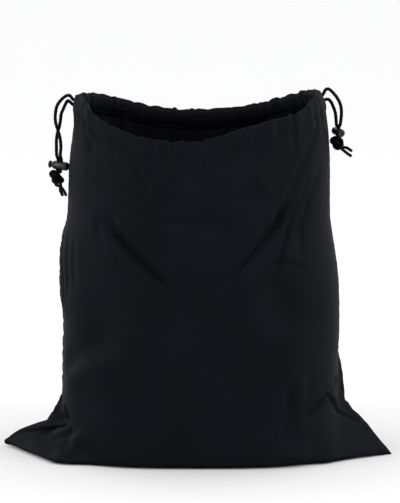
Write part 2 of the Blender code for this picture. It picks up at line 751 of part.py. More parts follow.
for row in LOCKS:
    side = row[0]
    front_free, back_free, places = strands[side]
    front_high, back_low = (CORD_HIGH, CORD_LOW) if side == "left" else (CORD_LOW, CORD_HIGH)
    front_run = casing_run(front_rows, front_normals, front_high)
    back_run = casing_run(back_rows, back_normals, back_low)
    if side == "right":
        front_run, back_run = front_run[::-1], back_run[::-1]
    ends = []
    for free, place_in_lock, run in ((front_free, places[0], front_run), (back_free, places[1], back_run)):
        through = [in_lock(row, place_in_lock * CORD_PITCH, rise) for rise in (6.5, 0.0, -BELOW_LOCK)]
        out = run[0] + (run[0] - run[1]) / np.linalg.norm(run[0] - run[1]) * 2.0
        route = smooth_route([run[0], out, *free, through[0]], 4.6)
        ends.append([*route, through[1], through[2]])
    # round the far corner of the mouth, from the front casing to the back one
    a, b = front_run[-1], back_run[-1]
    out_a = a + (a - front_run[-2]) / np.linalg.norm(a - front_run[-2]) * 0.8
    out_b = b + (b - back_run[-2]) / np.linalg.norm(b - back_run[-2]) * 0.8
    bight = smooth_route([a, out_a, out_b, b], 4.5)
    points = [*ends[0][::-1], *front_run[1:-1], *bight, *back_run[1:-1][::-1], *ends[1]]
    cord_object(side + "_drawcord", np.array(points), cord_finish)

    frame, axis, up = lock_frame(row)
    stand = bpy.data.objects.new(side + "_lock_axis", None)
    bpy.context.scene.collection.objects.link(stand)
    stand.matrix_world = frame
    mouth = -CORDS_IN  # the barrel's open end, along the axis
    closed = mouth + BARREL
    bore_end = mouth + BORE_DEPTH
    r = BARREL_D / 2
    profile = (
        (closed, 0), (closed, r - 1.6), (closed - 0.5, r - 0.6), (closed - 1.5, r),
        (mouth + 1.6, r), (mouth + 0.5, r - 0.2), (mouth, r - 0.6), (mouth, BORE_D / 2),
        (bore_end, BORE_D / 2), (bore_end, 0),
    )
    barrel = place(side + "_lock_barrel", turned(side + "_lock_barrel", profile), gloss, stand)
    reach = CORD_PITCH / 2 + CORD / 2 + CLEAR
    cutter = place(
        side + "_barrel_slot", slot_mesh("slot", -reach, reach, SLOT_W, 3 * r), gloss, stand, False
    )
    combine(barrel, helper(cutter), "DIFFERENCE")

    stem = STEM_D / 2
    inner = reach + 1.2
    neck = mouth - NECK
    button = BUTTON_D / 2
    profile = (
        (inner, 0), (inner, stem - 0.4), (inner - 0.4, stem), (neck + 0.5, stem), (neck, stem + 0.4),
        (neck, button - 0.3), (neck - 0.3, button), (neck - BUTTON + 0.7, button),
        (neck - BUTTON + 0.15, button - 0.7), (neck - BUTTON, button - 1.6), (neck - BUTTON, 0),
    )
    plunger = place(side + "_lock_plunger", turned(side + "_lock_plunger", profile), gloss, stand)
    cutter = place(
        side + "_plunger_slot", slot_mesh("slot", -reach - PRESS, reach, SLOT_W, 3 * r), gloss, stand, False
    )
    combine(plunger, helper(cutter), "DIFFERENCE")

    centre, rolls, tails = knots[side]
    parts = []
    for k, (x, y, z, hx, hy, hz) in enumerate(rolls):
        name = side + "_knot" if k == 0 else f"{side}_knot_roll_{k}"
        roll = place(name, roll_mesh(name, (hx, hy, hz)), cord_finish)
        at = Vector((centre[0] + x - PLAN_CENTRE[0], centre[1] + y - PLAN_CENTRE[1], centre[2] + z))
        roll.location = at * MM
        roll.rotation_euler = (0.2 * k, 0.15, 0.3 + 0.7 * k)
        parts.append(roll)
    offset = Vector((*PLAN_CENTRE, 0))
    for k, tail in enumerate(tails):
        route = smooth_route([Vector(p) - offset for p in tail], 3.6)
        parts.append(place(f"{side}_tail_{k}", swept_mesh("tail", route, CORD / 2), cord_finish))
    for k, place_in_lock in enumerate(places):
        drops = [-BELOW_LOCK - CLEAR - CORD * 0.15 - 0.05 - d for d in (0.0, 0.9)]
        top, below = (Vector(in_lock(row, place_in_lock * CORD_PITCH, d)) - offset for d in drops)
        foot = Vector(centre) - offset + Vector((place_in_lock * 2.4, 0, rolls[0][5] * 0.45))
        stub = swept_mesh("stub", [top, below, below.lerp(foot, 0.5), foot], CORD / 2)
        parts.append(place(f"{side}_stub_{k}", stub, cord_finish))
    for other in parts[1:]:
        combine(parts[0], helper(other), "UNION")
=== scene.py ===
"""Looks of the drawcord helmet bag: cloth panels with their folds and gathers, braided cords with
real knots, cord locks, stitching, materials, soft studio light and the camera."""

import math

import bmesh
import bpy
import numpy as np
from mathutils import Matrix, Vector


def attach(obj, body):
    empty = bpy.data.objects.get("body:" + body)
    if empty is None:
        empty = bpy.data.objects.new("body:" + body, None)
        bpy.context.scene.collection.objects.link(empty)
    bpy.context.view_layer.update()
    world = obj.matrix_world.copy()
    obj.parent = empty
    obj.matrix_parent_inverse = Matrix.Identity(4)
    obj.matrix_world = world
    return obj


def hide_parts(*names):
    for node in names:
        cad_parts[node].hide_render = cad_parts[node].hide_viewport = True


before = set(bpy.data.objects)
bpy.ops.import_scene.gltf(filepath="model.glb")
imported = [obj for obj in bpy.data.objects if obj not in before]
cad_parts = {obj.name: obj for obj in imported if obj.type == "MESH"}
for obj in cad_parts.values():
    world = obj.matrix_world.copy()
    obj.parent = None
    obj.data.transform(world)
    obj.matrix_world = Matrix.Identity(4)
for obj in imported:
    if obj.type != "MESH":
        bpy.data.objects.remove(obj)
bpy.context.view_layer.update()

MM = 0.001
SHIFT = np.array([1.4, 0.0, 0.0])  # the tables' x to the frame's

# ------------------------------------------------------------------ camera

cam_data = bpy.data.cameras.new("camera")
cam = bpy.data.objects.new("camera", cam_data)
bpy.context.scene.collection.objects.link(cam)
cam.location = (0.0036, -2.4, 0.62)
cam.rotation_euler = (math.radians(90 - 9.42), 0, 0)
cam_data.sensor_width = 36
cam_data.lens = 36 * 2215.4 / 503
cam_data.clip_start, cam_data.clip_end = 0.05, 100
bpy.context.scene.camera = cam

# ------------------------------------------------------------------ driving sizes, mm (as the solids')

HEM = 20.0
CORNER_NOTCH = 7.0
FOOT_RADIUS = 8.0
TIP_RADIUS = 2.0
TIP_LIFT_LEFT = 3.0
TIP_LIFT_RIGHT = 1.0
SEAM_SHORT = 6.0
CORD = 3.6
CORD_HIGH = 15.6
CORD_LOW = 10.2
CASING_GAP = 4.8
BARREL = 17.0
BARREL_D = 9.2
BORE_D = 6.9
BORE_DEPTH = 14.8
STEM_D = 6.3
SLOT_W = 4.3
CORD_PITCH = 3.9
CORDS_IN = 6.35
PRESS = 2.5
NECK = 3.4
BUTTON = 2.2
BUTTON_D = 8.0
CLEAR = 0.3
CLOTH_SEEN = 0.7  # thickness of the cloth here

BODY_COLUMNS = ("z", "left", "right", "front", "back", "square")
BODY = (
    (0, 149, 152, 95, 93, 3.1),
    (60, 149.5, 153, 98, 97, 2.9),
    (110, 149, 154, 103, 102, 2.8),
    (145, 148, 155, 105.5, 104.5, 2.75),
    (188, 151.5, 154, 106, 105.5, 2.7),
    (221, 151, 150.2, 105.5, 105.5, 2.65),
    (244, 147.5, 146.4, 105, 105, 2.6),
    (266, 142, 143.6, 104, 104, 2.6),
    (320, 139.5, 143, 101, 101, 2.6),
    (350, 136, 141.5, 98, 98, 2.6),
    (367, 134, 139.8, 97, 97, 2.6),
    (384, 133.5, 137, 96, 96, 2.6),
    (398, 128.5, 131.5, 95, 95, 2.6),
)
EAR_COLUMNS = ("z", "reach", "front_angle", "back_angle", "front_depth", "back_depth", "swing")
LEFT_EAR = (
    (0, 215, 53, 50, 80, 62, 10),
    (3, 216, 53, 50, 78, 60, 10),
    (9.5, 210, 52, 50, 68, 55, 9),
    (18, 200, 50, 50, 54, 48, 8),
    (25, 186, 48, 50, 42, 40, 7),
    (31, 171, 46, 48, 33, 32, 6),
    (40, 163, 45, 46, 24, 24, 4),
    (52, 156, 45, 46, 16, 16, 2),
    (62, 149, 45, 46, 10, 10, 0),
    (90, 120, 45, 46, 4, 4, 0),
    (400, 80, 45, 46, 4, 4, 0),
)
RIGHT_EAR = (
    (0, 215, 44, 52, 76, 56, -27),
    (10, 206, 45, 52, 68, 54, -24),
    (30, 189, 46, 50, 52, 48, -17),
    (61, 163, 48, 46, 30, 34, -8),
    (76, 161.5, 50, 46, 22, 26, -5),
    (98, 157, 50, 46, 12, 14, -2),
    (109, 152, 46, 46, 8, 8, 0),
    (130, 130, 46, 46, 4, 4, 0),
    (400, 80, 46, 46, 4, 4, 0),
)
RIM_COLUMNS = ("along", "front", "back")
RIM = (
    (0.00, 392, 392),
    (0.10, 393, 392),
    (0.15, 391, 391),
    (0.19, 380, 389),
    (0.26, 368, 383),
    (0.35, 358, 374),
    (0.45, 354, 369),
    (0.50, 355, 369),
    (0.59, 365, 371),
    (0.71, 377, 380),
    (0.78, 382, 388),
    (0.85, 393, 394),
    (0.93, 398, 397),
    (1.00, 397, 397),
)

# Folds: a line on the panel (across from the middle, up from the floor) that bows to one side,
# its depth (a ridge is negative) and half-width at each end, and the height of the soft roll along
# its upper side.
FOLD_COLUMNS = (
    "name", "across_0", "up_0", "across_1", "up_1", "bow", "deep_0", "deep_1", "wide_0", "wide_1", "roll",
)
FRONT_FOLDS = (
    ("left_v", -103, 268, -18, 187, 2, 10.0, 3.9, 6.0, 2.8, 2.2),
    ("left_v_head", -122, 264, -90, 268, 0, 3.0, 3.5, 8, 9, 0.0),
    ("right_v", 100, 284, 28, 207, -2, 9.5, 3.0, 7.0, 2.8, 2.2),
    ("right_v_head", 88, 288, 96, 268, 0, 3.5, 3.0, 9, 9, 0.0),
    ("right_v_outer", 106, 280, 78, 208, -3, 2.8, 3.4, 4, 5, 1.0),
    ("level_shade", -60, 270, 70, 275, -3, 1.6, 1.6, 8, 8, 0.8),
    ("upper_left_nick", -74, 326, -53, 295, 2, 3.0, 1.6, 4.5, 4, 1.0),
    ("right_level", 78, 226, 128, 215, 2, 3.2, 1.0, 5.5, 4, 1.2),
    ("right_pit", 119, 260, 114, 232, 0, 2.6, 1.8, 5, 5, 0.4),
    ("left_dent", -92, 190, -122, 126, 4, 4.5, 5.0, 22, 24, 0.0),
    ("left_low_hollow", -166, 104, -88, 145, 4, 4.5, 3.5, 12, 16, 0.0),
    ("left_low_swell", -168, 80, -72, 128, 3, -3.5, -2.5, 12, 15, 0.0),
    ("right_dent", 84, 214, 92, 146, -4, 5.0, 4.0, 20, 22, 0.0),
    ("lower_right_curve", 101, 93, 90, 20, -3, 3.8, 3.5, 7, 7, 0.0),
    ("lower_right_ridge", 113, 98, 100, 54, -3, -3.5, -3.0, 6, 6, 0.0),
    ("lower_right_valley", 109, 72, 101, 32, -2, 3.0, 2.2, 5, 5, 0.0),
    ("lower_right_foot", 92, 13, 124, 16, 0, -4.5, -3.5, 8, 8, 0.0),
    ("right_corner_crease", 193, 86, 162, 74, 0, 5.0, 10.0, 5, 6, 0.0),
    ("right_corner_fan", 168, 80, 110, 49, 3, 12.5, 3.5, 5.0, 6, 3.6),
    ("right_corner_short", 159, 80, 171, 51, 0, 9.5, 2.5, 4.2, 4.4, 1.0),
    ("right_corner_thin", 167, 67, 219, 24, -2, 5.5, 2.4, 2.8, 2.6, 1.6),
    ("left_corner_top", -214, 34, -164, 42, -2, 2.0, 10.0, 4.5, 6.5, 0.0),
    ("left_corner_level", -217, 15, -175, 33, -1, 3.0, 13.0, 3.0, 4.2, 3.6),
    ("left_corner_slant", -196, 25, -122, 4, 2, 9.5, 10.0, 4.4, 5.2, 3.4),
    ("left_corner_neck", -177, 55, -150, 20, 2, 12.0, 9.0, 6, 7, 0.0),
    ("left_corner_ridge", -137, 34, -118, 5, 2, -4.0, -3.5, 7, 7, 0.0),
    ("left_side_1", -187, 250, -168, 180, 1, 1.4, 3.0, 4, 4.5, 0.0),
    ("left_side_2", -164, 250, -155, 184, 1, 1.2, 2.6, 4, 4.5, 0.0),
    ("left_side_3", -151, 248, -143, 190, 1, 1.0, 2.0, 4.5, 5, 0.0),
    ("left_inner_1", -119, 262, -101, 237, 1, 1.8, 1.2, 5, 4, 0.6),
    ("left_inner_2", -90, 236, -65, 194, 2, 1.6, 1.2, 5, 5, 0.6),
    ("left_top_1", -143, 356, -101, 312, 2, 2.8, 1.8, 5.5, 5, 1.0),
    ("left_top_2", -159, 379, -127, 328, 2, 2.8, 1.6, 6, 5, 1.0),
    ("left_top_3", -124, 370, -119, 342, 0, 3.2, 1.2, 5, 4, 0.6),
    ("right_slant_1", 145, 354, 95, 284, 3, 2.4, 2.8, 5.5, 6.5, 1.2),
    ("right_slant_2", 148, 316, 121, 274, 2, 2.2, 2.0, 5, 5, 1.0),
    ("right_slant_3", 157, 370, 109, 318, 2, 2.2, 2.0, 5.5, 6, 1.0),
    ("right_slant_4", 132, 290, 102, 232, 2, 2.0, 2.4, 5, 6, 1.0),
    ("upper_right_swell", 61, 322, 84, 295, 0, -2.2, -1.8, 7, 7, 0.0),
    ("lower_middle", -20, 126, 30, 30, 8, 1.5, 2.5, 26, 30, 0.0),
    ("lower_left_sway", -120, 150, -60, 20, 10, 2.0, 3.0, 24, 26, 0.0),
    ("hem_nick_1", -54, 360, -48, 331, 0, 3.4, 1.6, 5, 4.5, 0.6),
    ("hem_nick_2", -38, 356, -35, 331, 0, 2.6, 1.2, 5, 4.5, 0.6),
    ("hem_nick_3", 7, 360, 8, 332, 0, 4.0, 1.4, 5, 4.5, 0.6),
    ("hem_nick_4", 91, 381, 90, 352, 0, 4.6, 1.8, 8, 6, 0.8),
    ("hem_nick_5", 115, 385, 116, 356, 0, 3.6, 1.4, 7, 5, 0.8),
    ("hem_nick_6", 149, 395, 144, 366, 0, 3.0, 1.2, 6, 5, 0.8),
    ("hem_nick_7", 52, 372, 52, 342, 0, 2.8, 1.2, 7, 5, 0.8),
    ("hem_nick_8", -88, 368, -84, 338, 0, 2.6, 1.2, 7, 5, 0.6),
)
BACK_FOLDS = (
    ("upper_sag", -110, 272, 24, 204, 6, 6.0, 1.5, 14, 6, 2.4),
    ("lower_sag", -14, 190, 118, 244, -6, 1.5, 6.0, 6, 13, 2.4),
    ("mid_sag", -60, 150, 70, 158, -8, 2.5, 2.5, 22, 22, 0.0),
    ("left_dent", -140, 108, -64, 180, 6, 5.0, 5.0, 24, 26, 0.0),
    ("right_dent", 62, 168, 134, 96, 6, 5.0, 4.0, 26, 24, 0.0),
    ("left_corner_crease", -172, 78, -112, 30, 4, 5.5, 1.5, 6, 10, 2.0),
    ("right_corner_crease", 174, 104, 116, 40, 4, 5.5, 1.5, 6, 10, 2.0),
    ("left_corner_short", -168, 74, -186, 40, 0, 3.5, 1.0, 6, 5, 0.0),
    ("foot_ridge", -80, 84, -92, 8, 3, -3.5, -4.0, 12, 12, 0.0),
    ("right_foot_ridge", 84, 70, 94, 8, 3, -3.0, -3.5, 12, 12, 0.0),
    ("hem_nick_1", -96, 366, -90, 336, 0, 3.0, 1.0, 7, 5, 0.6),
    ("hem_nick_2", -30, 350, -28, 324, 0, 2.6, 1.0, 7, 5, 0.6),
    ("hem_nick_3", 44, 352, 40, 326, 0, 3.0, 1.0, 7, 5, 0.8),
    ("hem_nick_4", 104, 370, 98, 340, 0, 3.0, 1.0, 8, 6, 0.8),
)

ROUTE_COLUMNS = ("x", "y", "z")
LEFT_FRONT_STRAND = (
    (-131.8, -3.6, 387.6), (-135.4, -2.6, 389.4), (-139.2, -3.4, 393.8), (-143.3, -7.0, 393.3),
    (-148.0, -11.0, 389.6), (-152.3, -13.0, 383.3), (-154.1, -14.5, 374.3), (-153.8, -16.0, 366.3),
    (-151.6, -17.2, 358.3), (-149.1, -17.6, 349.1), (-148.3, -17.0, 339.2), (-149.1, -16.0, 329.9),
)
LEFT_BACK_STRAND = (
    (-131.9, 3.6, 382.2), (-135.8, 2.5, 383.4), (-139.4, 1.8, 386.6), (-141.4, -1.0, 387.9),
    (-143.2, -3.8, 385.4), (-145.4, -6.9, 380.6), (-148.0, -9.6, 374.3), (-148.9, -11.2, 366.9),
    (-150.2, -12.0, 360.4), (-152.2, -12.3, 353.9), (-153.3, -12.6, 346.4), (-153.4, -13.0, 337.7),
    (-153.1, -13.4, 329.8),
)
RIGHT_FRONT_STRAND = (
    (133.5, -3.6, 387.0), (137.3, -2.6, 388.9), (141.0, -2.6, 389.6), (143.8, -2.9, 387.4),
    (146.4, -4.0, 382.4), (148.8, -6.0, 375.6), (149.6, -8.2, 368.2), (150.2, -9.4, 361.8),
)
RIGHT_BACK_STRAND = (
    (132.2, 3.6, 391.6), (135.9, 2.8, 394.6), (138.4, 1.8, 399.4), (141.4, -0.6, 400.6),
    (145.4, -3.4, 397.8), (150.3, -6.5, 392.1), (154.1, -9.0, 384.6), (155.2, -11.0, 376.6),
    (154.7, -12.3, 369.2), (153.6, -13.2, 362.2),
)
LOCK_COLUMNS = ("side", "x", "y", "z", "heading", "dip")
LOCKS = (
    ("left", -150.4, -15.0, 318.9, 20, 5.5),
    ("right", 151.9, -11.5, 354.9, 75, 2),
)
LEFT_KNOT_AT = (-153.6, -14.4, 305.6)
RIGHT_KNOT_AT = (151.3, -11.8, 343.2)

# ------------------------------------------------------------------ curves and the bag's form


def curve_through(xs, ys, x):
    """A smooth curve through the points that adds no bump between them."""
    xs, ys = np.asarray(xs, float), np.asarray(ys, float)
    step = np.diff(xs)
    slope = np.diff(ys) / step
    tangent = np.zeros(len(ys))
    tangent[0], tangent[-1] = slope[0], slope[-1]
    for k in range(1, len(ys) - 1):
        if slope[k - 1] * slope[k] > 0:
            before, after = 2 * step[k] + step[k - 1], step[k] + 2 * step[k - 1]
            tangent[k] = (before + after) / (before / slope[k - 1] + after / slope[k])
    x = np.clip(x, xs[0], xs[-1])
    k = np.clip(np.searchsorted(xs, x, side="right") - 1, 0, len(step) - 1)
    t = (x - xs[k]) / step[k]
    return (
        (1 + 2 * t) * (1 - t) ** 2 * ys[k]
        + t * (1 - t) ** 2 * step[k] * tangent[k]
        + t * t * (3 - 2 * t) * ys[k + 1]
        + t * t * (t - 1) * step[k] * tangent[k + 1]
    )


def read(names, rows, name, at):
    column = names.index(name)
    return curve_through([r[0] for r in rows], [r[column] for r in rows], at)


def smooth_max(a, b, width):
    near = np.clip(1 - np.abs(a - b) / width, 0, 1)
    return np.maximum(a, b) + near * near * width / 4


def smooth_step(t):
    t = np.clip(t, 0, 1)
    return t * t * (3 - 2 * t)


def half_section(z, side, count=721):
    """Plan outline of one panel at height z, from the left seam to the right seam."""
    turn = np.linspace(0, math.pi, count)
    c, s = -np.cos(turn), np.sin(turn)
    wide = np.where(c < 0, read(BODY_COLUMNS, BODY, "left", z), read(BODY_COLUMNS, BODY, "right", z))
    deep = read(BODY_COLUMNS, BODY, side, z)
    n = read(BODY_COLUMNS, BODY, "square", z)
    r = ((np.abs(c) / wide) ** n + (s / deep) ** n) ** (-1 / n)
    swing = 0 * turn
    for ear, angle in ((LEFT_EAR, turn), (RIGHT_EAR, math.pi - turn)):
        reach = read(EAR_COLUMNS, ear, "reach", z)
        flank_angle = math.radians(float(read(EAR_COLUMNS, ear, side + "_angle", z)))
        depth = read(EAR_COLUMNS, ear, side + "_depth", z)
        flank = reach * np.sin(flank_angle) / np.sin(np.clip(flank_angle + angle, 0.01, math.pi - 0.3))
        face = depth / np.maximum(np.sin(angle), 0.02)
        wedge = -smooth_max(-flank, -face, 16)
        here = angle < math.pi / 2
        r = np.where(here, smooth_max(r, wedge, 10), r)
        out = np.clip((np.abs(c) * r - 120) / 90, 0, 1) ** 1.5
        swing = swing + np.where(here, read(EAR_COLUMNS, ear, "swing", z) * out, 0)
    return np.stack([c * r, (-s if side == "front" else s) * r + swing], 1)


LEVELS = np.concatenate([np.arange(0, 120, 1.5), np.arange(120, 412, 4.0)])
ALONG = 721


def level_grid(side):
    """Every level's outline, evenly spaced along the cloth."""
    grid = np.zeros((len(LEVELS), ALONG, 2))
    for i, z in enumerate(LEVELS):
        outline = half_section(min(z, BODY[-1][0]), side)
        run = np.concatenate([[0], np.cumsum(np.hypot(*np.diff(outline, axis=0).T))])
        even = np.linspace(0, run[-1], ALONG)
        grid[i] = np.stack([np.interp(even, run, outline[:, k]) for k in (0, 1)], 1)
    return grid


GRIDS = {side: level_grid(side) for side in ("front", "back")}


def plan_point(side, along, z):
    grid = GRIDS[side]
    level = np.clip(np.interp(z, LEVELS, np.arange(len(LEVELS))), 0, len(LEVELS) - 1.001)
    place = np.clip(np.clip(along, 0, 1) * (ALONG - 1), 0, ALONG - 1.001)
    a, b = level.astype(int), place.astype(int)
    fa, fb = (level - a)[..., None], (place - b)[..., None]
    low = grid[a, b] * (1 - fb) + grid[a, b + 1] * fb
    high = grid[a + 1, b] * (1 - fb) + grid[a + 1, b + 1] * fb
    return low * (1 - fa) + high * fa


def plan_normal(side, along, z):
    run = plan_point(side, along + 0.004, z) - plan_point(side, along - 0.004, z)
    n = np.stack([run[..., 1], -run[..., 0]], -1)
    n /= np.linalg.norm(n, axis=-1, keepdims=True)
    return n if side == "front" else -n


def rim_height(side, along):
    return read(RIM_COLUMNS, RIM, side, along)


def fold_depth(side, along, z):
    """How far the folds push the cloth in, in mm."""
    across = (along - 0.5) * 430
    total = 0 * across
    for _, x0, z0, x1, z1, bow, deep_0, deep_1, wide_0, wide_1, roll in (
        FRONT_FOLDS if side == "front" else BACK_FOLDS
    ):
        dx, dz = x1 - x0, z1 - z0
        length = math.hypot(dx, dz)
        t = ((across - x0) * dx + (z - z0) * dz) / length**2
        off = ((z - z0) * dx - (across - x0) * dz) / length
        off = (off if dx >= 0 else -off) - bow * 4 * np.clip(t, 0, 1) * (1 - np.clip(t, 0, 1))
        s = np.clip(t, 0, 1)
        wide, deep = wide_0 + (wide_1 - wide_0) * s, deep_0 + (deep_1 - deep_0) * s
        wide = wide * np.where((off > 0) & (roll > 0), 0.6, 1.0)
        fade = smooth_step(t * 3.2 + 0.3) * smooth_step((1 - t) * 2.6 + 0.2)
        total = total + fade * (
            deep * np.exp(-((off / wide) ** 2))
            - roll * (deep / max(deep_0, deep_1)) * np.exp(-(((off - 1.8 * wide) / (1.2 * wide)) ** 2))
        )
    above_floor = smooth_step((z - 1) / 8)
    in_hem = smooth_step((z - rim_height(side, along) + 24) / 7)
    below_rim = 1 - 0.62 * in_hem
    off_seam = smooth_step(np.minimum(along, 1 - along) / 0.03)
    return total * above_floor * below_rim * off_seam


def outer_face(side, along, z):
    """Point of the cloth's outer face, at a share of the way along and a height."""
    along, z = np.broadcast_arrays(np.asarray(along, float), np.asarray(z, float))
    n = plan_normal(side, along, z)
    edge = np.minimum(along, 1 - along)
    radius = TIP_RADIUS + (FOOT_RADIUS - TIP_RADIUS) * np.clip(edge / 0.12, 0, 1)
    below = np.clip(radius - z, 0, None)
    inset = radius - np.sqrt(np.clip(radius**2 - below**2, 0, None))
    curl = n * np.stack([np.ones_like(edge), smooth_step(edge / 0.03)], -1)
    curl /= np.linalg.norm(curl, axis=-1, keepdims=True)
    p = plan_point(side, along, z) - n * fold_depth(side, along, z)[..., None]
    p = p - curl * inset[..., None]
    return np.concatenate([p, (z + tip_lift(p[..., 0]))[..., None]], -1)


def tip_lift(x):
    lift = TIP_LIFT_LEFT * np.clip((-x - 188) / 26, 0, 1) ** 1.5
    return lift + TIP_LIFT_RIGHT * np.clip((x - 188) / 26, 0, 1) ** 1.5


def seam_point(along):
    """The bottom seam, straight along the floor from corner to corner."""
    tips = [outer_face("front", np.array([a]), np.array([0.0]))[0] for a in (0.0, 1.0)]
    left, right = tips[0] + (SEAM_SHORT, 0, 0), tips[1] - (SEAM_SHORT, 0, 0)
    p = left + (right - left) * np.asarray(along)[..., None]
    p[..., 2] = tip_lift(p[..., 0])
    return p


# ------------------------------------------------------------------ the cloth's grid

COLUMNS = 181  # across a panel
FLOOR_ROWS = 22  # bottom seam to the foot
FOOT = (0.5, 1.7, 3.6, 5.8, 8.4)
WALL_ROWS = 118
HEM_ROWS = 9
HEM_TOP = 18.3  # where the hem starts to turn over at the rim
HEM_SWELL = ((0, 0.0), (2.5, 0.3), (6.5, 1.0), (12.6, 1.2), (16.5, 1.0), (18.3, 0.8))


# Waves that add up to the gathers at the casing: crest to crest in mm, size in mm, and phase.
GATHER_COLUMNS = ("pitch", "size", "phase_front", "phase_back")
GATHERS = ((13.0, 0.42, 0.4, 2.0), (17.5, 0.5, 2.6, 0.7), (29.0, 0.45, 1.2, 3.1), (9.5, 0.2, 5.0, 4.1))
RIM_WAVES = ((11.0, 0.45, 0.9, 1.7), (19.0, 0.6, 3.3, 0.2), (34.0, 0.5, 5.2, 2.2), (7.5, 0.22, 1.1, 4.6))


def waves(rows, side, at):
    across = (at - 0.5) * 430
    across = across + 3.5 * np.sin(across * 0.071 + 1.0) + 2.0 * np.sin(across * 0.17)
    phase = 2 if side == "front" else 3
    total = sum(row[1] * np.sin(2 * math.pi * across / row[0] + row[phase]) for row in rows)
    return total * smooth_step(np.minimum(at, 1 - at) / 0.03) * (0.75 + 0.4 * np.sin(across * 0.043 + phase))


def panel_target(side):
    """Outer face of a panel before it wrinkles, from the bottom seam to the rim, and each point's
    share of the way along and height."""
    along = np.linspace(0, 1, COLUMNS)
    stitch = rim_height(side, along) - HEM
    edge = outer_face(side, along, 0 * along)
    seam = seam_point(along)
    rows, at, up = [], [], []
    for share in np.linspace(0, 1, FLOOR_ROWS):
        rows.append(seam + (edge - seam) * share)
        at.append(along)
        up.append(0 * along - 1 + share)
    for z in FOOT:
        rows.append(outer_face(side, along, z + 0 * along))
        at.append(along)
        up.append(z + 0 * along)
    for k in range(1, WALL_ROWS):
        z = FOOT[-1] + (stitch - FOOT[-1]) * k / WALL_ROWS
        p = outer_face(side, along, z)
        pucker = waves(GATHERS, side, along) * np.exp(-((stitch - z) / 13.0) ** 1.3)
        p[..., :2] += plan_normal(side, along, z) * pucker[..., None]
        rows.append(p)
        at.append(along)
        up.append(z)
    for h in np.linspace(0, HEM_TOP, HEM_ROWS):
        notch = CORNER_NOTCH / 390 * smooth_step((h + 3) / 7)
        held = notch + along * (1 - 2 * notch)
        z = rim_height(side, held) - HEM + h
        p = outer_face(side, held, z)
        pucker = waves(GATHERS, side, held) * (1 - 0.45 * math.sin(math.pi * h / HEM_TOP))
        swell = np.interp(h, *zip(*HEM_SWELL)) + pucker
        p[..., :2] += plan_normal(side, held, z) * swell[..., None]
        p[..., 2] += waves(RIM_WAVES, side, held) * float(smooth_step((h - 6) / 12))
        rows.append(p)
        at.append(held)
        up.append(z)
    return np.array(rows), np.array(at), np.array(up)


TARGET, AT, UP = {}, {}, {}
for side in ("front", "back"):
    TARGET[side], AT[side], UP[side] = panel_target(side)
ROWS = TARGET["front"].shape[0]
FIRST_HEM = ROWS - HEM_ROWS
FIRST_WALL = FLOOR_ROWS - 1

# Where the cloth has more length than its outline, so that it wrinkles: a band along a line on
# the panel, its half-width, the direction in which the cloth is pushed together (0 level, 90
# upright) and the spare length in percent.
SLACK_COLUMNS = ("name", "across_0", "up_0", "across_1", "up_1", "wide", "pushed", "spare", "pitch")
FRONT_SLACK = (
    ("left_seam_upright", -186, 262, -172, 176, 20, 0, 4.0, 13),
    ("left_seam_level", -200, 340, -200, 70, 14, 90, 2.0, 16),
    ("right_slant_1", 144, 352, 96, 286, 20, -36, 2.6, 11),
    ("right_slant_2", 150, 318, 112, 240, 22, -28, 2.6, 11),
    ("right_seam_level", 204, 340, 200, 110, 12, 90, 2.0, 16),
    ("left_top_slant", -150, 372, -104, 318, 22, 38, 2.8, 15),
    ("left_top_corner", -176, 372, -160, 300, 20, 10, 2.4, 16),
    ("right_top_corner", 150, 366, 178, 330, 20, 0, 2.2, 16),
    ("right_top_level", 80, 352, 116, 346, 18, 0, 2.5, 16),
    ("middle_gather", 0, 338, 26, 330, 22, 0, 3.4, 13),
    ("right_ear_fan", 160, 84, 120, 60, 26, 40, 3.0, 22),
    ("right_ear_out", 168, 70, 205, 30, 16, 60, 2.0, 20),
    ("right_foot", 96, 100, 92, 30, 20, 0, 2.4, 24),
    ("left_ear_neck", -178, 52, -160, 18, 22, 60, 3.0, 18),
    ("left_ear_out", -205, 18, -160, 14, 14, 20, 2.5, 20),
    ("left_dent", -92, 185, -119, 133, 26, -30, 1.0, 30),
    ("right_dent", 84, 210, 91, 153, 26, 10, 1.0, 30),
    ("left_v_end", -34, 200, -10, 176, 14, 48, 2.0, 20),
    ("right_v_end", 40, 218, 22, 196, 14, -50, 2.0, 20),
)
BACK_SLACK = (
    ("left_seam_upright", -190, 268, -188, 176, 22, 0, 3.5, 14),
    ("right_seam_upright", 192, 300, 188, 220, 22, 0, 3.0, 14),
    ("left_seam_level", -200, 340, -200, 70, 14, 90, 2.0, 16),
    ("right_seam_level", 204, 340, 200, 110, 12, 90, 2.0, 16),
    ("upper_sag", -96, 262, 10, 214, 24, 66, 1.6, 28),
    ("lower_sag", 4, 196, 108, 236, 24, -70, 1.6, 28),
    ("left_slant", -150, 330, -112, 250, 24, 24, 2.2, 16),
    ("right_slant", 150, 340, 118, 262, 24, -24, 2.2, 16),
    ("left_ear_neck", -172, 72, -130, 40, 24, 60, 3.0, 18),
    ("right_ear_fan", 168, 92, 126, 54, 26, -40, 3.0, 22),
    ("foot", -60, 14, 70, 14, 18, 0, 1.5, 30),
)


